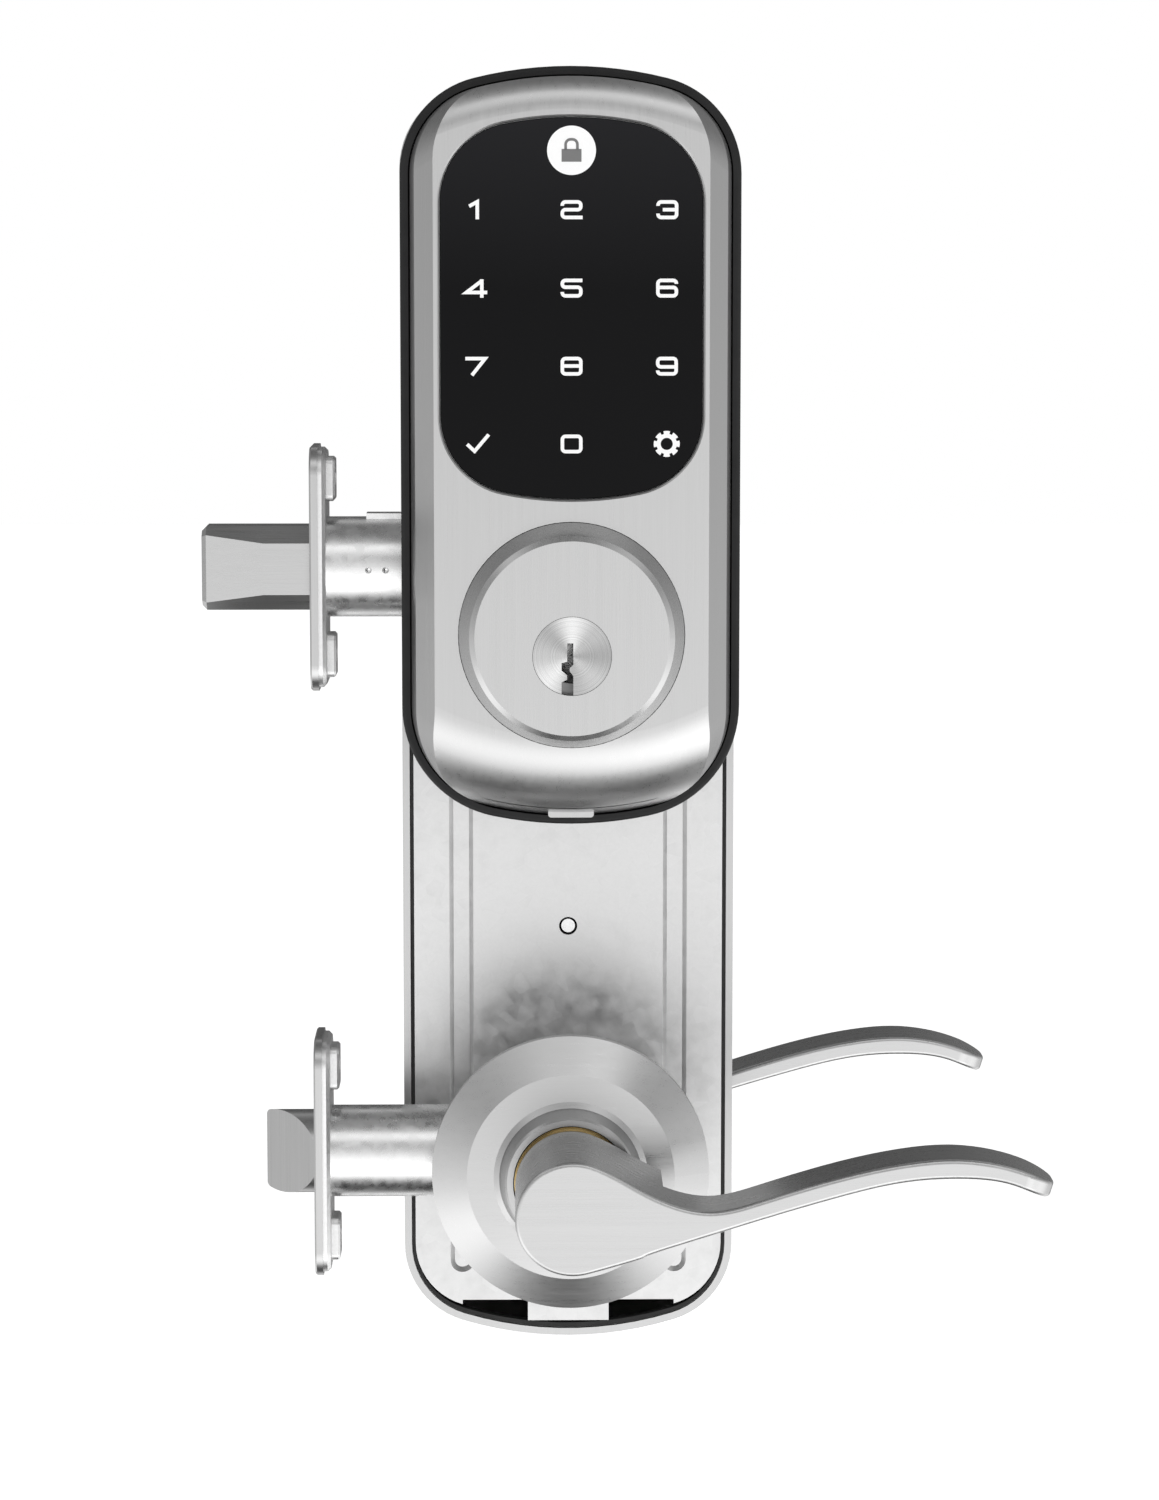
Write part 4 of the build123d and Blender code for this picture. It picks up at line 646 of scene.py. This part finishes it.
class LOCK_OT_inside_unit(bpy.types.Operator):
    """Inside housing, battery cover, thumbturn and mounting plate"""

    bl_idname = "door_lock.inside_unit"
    bl_label = "Inside unit"

    def execute(self, context):
        colours = context.scene.lock_finishes
        cover(["interior_escutcheon", "battery_cover"], brushed("housing_satin", colours.satin, "Z", 0.33))
        cover(["thumbturn"], brushed("thumbturn_satin", colours.satin, "X", 0.28))
        sheet = mottled_metal("galvanised_sheet", colours.sheet, 0.36, 0.0058, 0.13, 6e-6)
        cover(["interior_plate", "keypad_backplate"], sheet)
        return {"FINISHED"}


class LOCK_OT_mechanism(bpy.types.Operator):
    """Shafts, cams, springs, gears, motor and fasteners"""

    bl_idname = "door_lock.mechanism"
    bl_label = "Mechanism"

    def execute(self, context):
        colours = context.scene.lock_finishes
        steel = mottled_metal("drawn_steel", colours.steel, 0.34, 0.0009, 0.10, 8e-6)
        cover(
            [
                "tailpiece", "deadbolt_tail", "deadbolt_hub", "latch_tail", "latch_retractor",
                "exterior_spindle", "interior_spindle", "lever_cam", "interconnect_slide",
            ],
            steel,
        )
        screws = mottled_metal("screw_zinc", colours.zinc, 0.3, 0.0006, 0.08, 5e-6)
        cover(["through_bolts", "housing_screw", "cylinder_screws"], screws)
        wire = brushed("spring_wire", colours.steel, "Y", 0.22, fine=3500.0)
        cover(["pin_springs", "latch_spring", "exterior_lever_spring"], wire)
        cover(["motor"], brushed("motor_can", colours.zinc, "Y", 0.26, fine=3800.0))
        nylon = moulded("gear_nylon", colours.nylon, 0.42, 0.0011, 1e-5, Subsurface_Weight=0.05)
        cover(["motor_pinion", "idler_gear", "drive_gear", "retract_pinion"], nylon)
        carrier = moulded("carrier_plastic", colours.moulding, 0.5, 0.0009, 1.6e-5)
        cover(["gear_chassis", "harness_sockets"], carrier)
        return {"FINISHED"}


class LOCK_OT_electronics(bpy.types.Operator):
    """Circuit boards, cells and their contacts"""

    bl_idname = "door_lock.electronics"
    bl_label = "Boards and cells"

    def execute(self, context):
        colours = context.scene.lock_finishes
        cover(["touch_board", "control_board"], solder_mask(colours.board))
        cover(["battery_contacts"], brushed("contact_plate", colours.zinc, "X", 0.25, fine=3000.0))
        for number in range(1, 5):
            node = f"battery_{number}"
            band_low = number % 2 == 1
            sleeve = cell_sleeve(
                f"cell_sleeve_{number}", colours.cell_dark, colours.cell_band, node, band_low
            )
            cover([node], sleeve)
        return {"FINISHED"}


# ------------------------------------------------------------------ stage
ROOM_STRENGTH = 9.4
FLOOR_SIZE = 6.0
FLOOR_DROP = 0.35


def soft_light(name, kind_size, power, place, target):
    data = bpy.data.lights.new(name, "AREA")
    data.shape = "RECTANGLE"
    data.size, data.size_y = kind_size
    data.energy = power
    lamp = bpy.data.objects.new(name, data)
    bpy.context.scene.collection.objects.link(lamp)
    lamp.location = place
    lamp.rotation_euler = (Vector(target) - Vector(place)).to_track_quat("-Z", "Y").to_euler()
    return lamp


def level_ramp(tree, value, stops):
    """Brightness of the room along one direction; stops are (place, level) with place from -1 to 1."""
    spread = tree.nodes.new("ShaderNodeMapRange")
    spread.inputs["From Min"].default_value = -1.0
    spread.inputs["From Max"].default_value = 1.0
    tree.links.new(value, spread.inputs["Value"])
    ramp = tree.nodes.new("ShaderNodeValToRGB")
    points = ramp.color_ramp.elements
    while len(points) < len(stops):
        points.new(0.5)
    for point, (place, level) in zip(points, stops):
        point.position = (place + 1.0) / 2.0
        point.color = (level / 2.0, level / 2.0, level / 2.0, 1.0)
    tree.links.new(spread.outputs["Result"], ramp.inputs["Fac"])
    return ramp.outputs["Color"]


def studio_world(backdrop):
    """Pale backdrop, with a soft bright front and a darker back for the metal to reflect."""
    world = bpy.data.worlds.new("studio")
    world.use_nodes = True
    bpy.context.scene.world = world
    tree = world.node_tree
    tree.nodes.clear()
    output = tree.nodes.new("ShaderNodeOutputWorld")
    seen = tree.nodes.new("ShaderNodeBackground")
    seen.inputs["Color"].default_value = (*backdrop, 1.0)
    room = tree.nodes.new("ShaderNodeBackground")
    room.inputs["Strength"].default_value = ROOM_STRENGTH
    direction = tree.nodes.new("ShaderNodeTexCoord")
    parts = tree.nodes.new("ShaderNodeSeparateXYZ")
    tree.links.new(direction.outputs["Generated"], parts.inputs["Vector"])
    rise = level_ramp(
        tree, parts.outputs["Z"],
        [
            (-1.0, 0.06), (-0.985, 0.08), (-0.95, 0.25), (-0.87, 0.9), (-0.78, 1.6), (-0.6, 1.95),
            (-0.45, 1.8), (-0.3, 1.3), (-0.12, 1.25), (0.0, 0.98), (0.12, 0.84), (0.36, 0.52),
            (0.55, 0.5), (0.75, 0.95), (0.88, 0.4), (1.0, 0.22),
        ],
    )
    depth = level_ramp(
        tree, parts.outputs["Y"],
        [
            (-1.0, 1.0), (-0.4, 1.0), (0.0, 0.85), (0.3, 0.55), (0.55, 0.58), (0.68, 0.66),
            (0.8, 0.22), (0.94, 0.22), (1.0, 0.08),
        ],
    )
    side = level_ramp(
        tree, parts.outputs["X"],
        [(-1.0, 0.8), (-0.7, 1.1), (0.0, 1.0), (0.35, 1.4), (0.6, 1.0), (1.0, 1.1)],
    )
    product = multiply(tree, multiply(tree, rise, depth), side)
    tree.links.new(product, room.inputs["Color"])
    rays = tree.nodes.new("ShaderNodeLightPath")
    choose = tree.nodes.new("ShaderNodeMixShader")
    tree.links.new(rays.outputs["Is Camera Ray"], choose.inputs["Fac"])
    tree.links.new(room.outputs["Background"], choose.inputs[1])
    tree.links.new(seen.outputs["Background"], choose.inputs[2])
    tree.links.new(choose.outputs["Shader"], output.inputs["Surface"])


class LOCK_OT_stage(bpy.types.Operator):
    """Pale floor, soft light and camera"""

    bl_idname = "door_lock.stage"
    bl_label = "Stage"

    def execute(self, context):
        studio = context.scene.lock_studio
        studio_world(studio.backdrop)
        shape = bmesh.new()
        bmesh.ops.create_grid(shape, x_segments=2, y_segments=2, size=FLOOR_SIZE)
        bmesh.ops.translate(shape, verts=shape.verts, vec=(0.0, 2.0, CAD_BOX[0].z - FLOOR_DROP))
        mesh = bpy.data.meshes.new("floor")
        shape.to_mesh(mesh)
        shape.free()
        paper = Finish("floor_paper", 0.0, 0.9, Emission_Color=(1.0, 1.0, 1.0, 1.0), Emission_Strength=0.6)
        paper.tinted(paper.noise(paper.stretched((8.0, 8.0, 8.0))), (0.90, 0.90, 0.90), 0.01)
        mesh.materials.append(paper.material)
        floor = bpy.data.objects.new("floor", mesh)
        context.scene.collection.objects.link(floor)
        floor.visible_glossy = False
        soft_light("overhead", (1.0, 0.6), studio.key_power, (0.1, -0.9, 1.0), (0.0, 0.0, 0.1))
        context.scene.view_settings.view_transform = "Standard"
        data = bpy.data.cameras.new("camera")
        data.lens = studio.focal
        data.sensor_width = 36.0
        data.clip_start, data.clip_end = 0.05, 50.0
        camera = bpy.data.objects.new("camera", data)
        context.scene.collection.objects.link(camera)
        camera.location = studio.eye
        camera.rotation_euler = (math.pi / 2 - studio.pitch, 0.0, -studio.yaw)
        context.scene.camera = camera
        return {"FINISHED"}


# ------------------------------------------------------------------ add-on
STEPS = [
    LOCK_OT_keypad_cover,
    LOCK_OT_black_parts,
    LOCK_OT_panel_digits,
    LOCK_OT_settings_gear,
    LOCK_OT_badge,
    LOCK_OT_key_cylinder,
    LOCK_OT_edge_bolts,
    LOCK_OT_lever_sets,
    LOCK_OT_inside_unit,
    LOCK_OT_mechanism,
    LOCK_OT_electronics,
    LOCK_OT_stage,
]


class LOCK_PT_panel(bpy.types.Panel):
    """Lists the lock's finishes and pieces"""

    bl_idname = "LOCK_PT_panel"
    bl_label = "Door Lock"
    bl_space_type = "VIEW_3D"
    bl_region_type = "UI"
    bl_category = "Door Lock"

    def draw(self, context):
        for settings in ("lock_finishes", "lock_markings", "lock_studio"):
            box = self.layout.box()
            group = getattr(context.scene, settings)
            for name in group.__annotations__:
                box.prop(group, name)
        for step in STEPS:
            self.layout.operator(step.bl_idname)


CLASSES = [LockFinishes, LockMarkings, LockStudio, *STEPS, LOCK_PT_panel]


def register():
    for item in CLASSES:
        bpy.utils.register_class(item)
    bpy.types.Scene.lock_finishes = PointerProperty(type=LockFinishes)
    bpy.types.Scene.lock_markings = PointerProperty(type=LockMarkings)
    bpy.types.Scene.lock_studio = PointerProperty(type=LockStudio)


def unregister():
    del bpy.types.Scene.lock_finishes
    del bpy.types.Scene.lock_markings
    del bpy.types.Scene.lock_studio
    for item in reversed(CLASSES):
        bpy.utils.unregister_class(item)


def main():
    register()
    for step in STEPS:
        group, name = step.bl_idname.split(".")
        getattr(getattr(bpy.ops, group), name)()


if __name__ == "__main__":
    main()
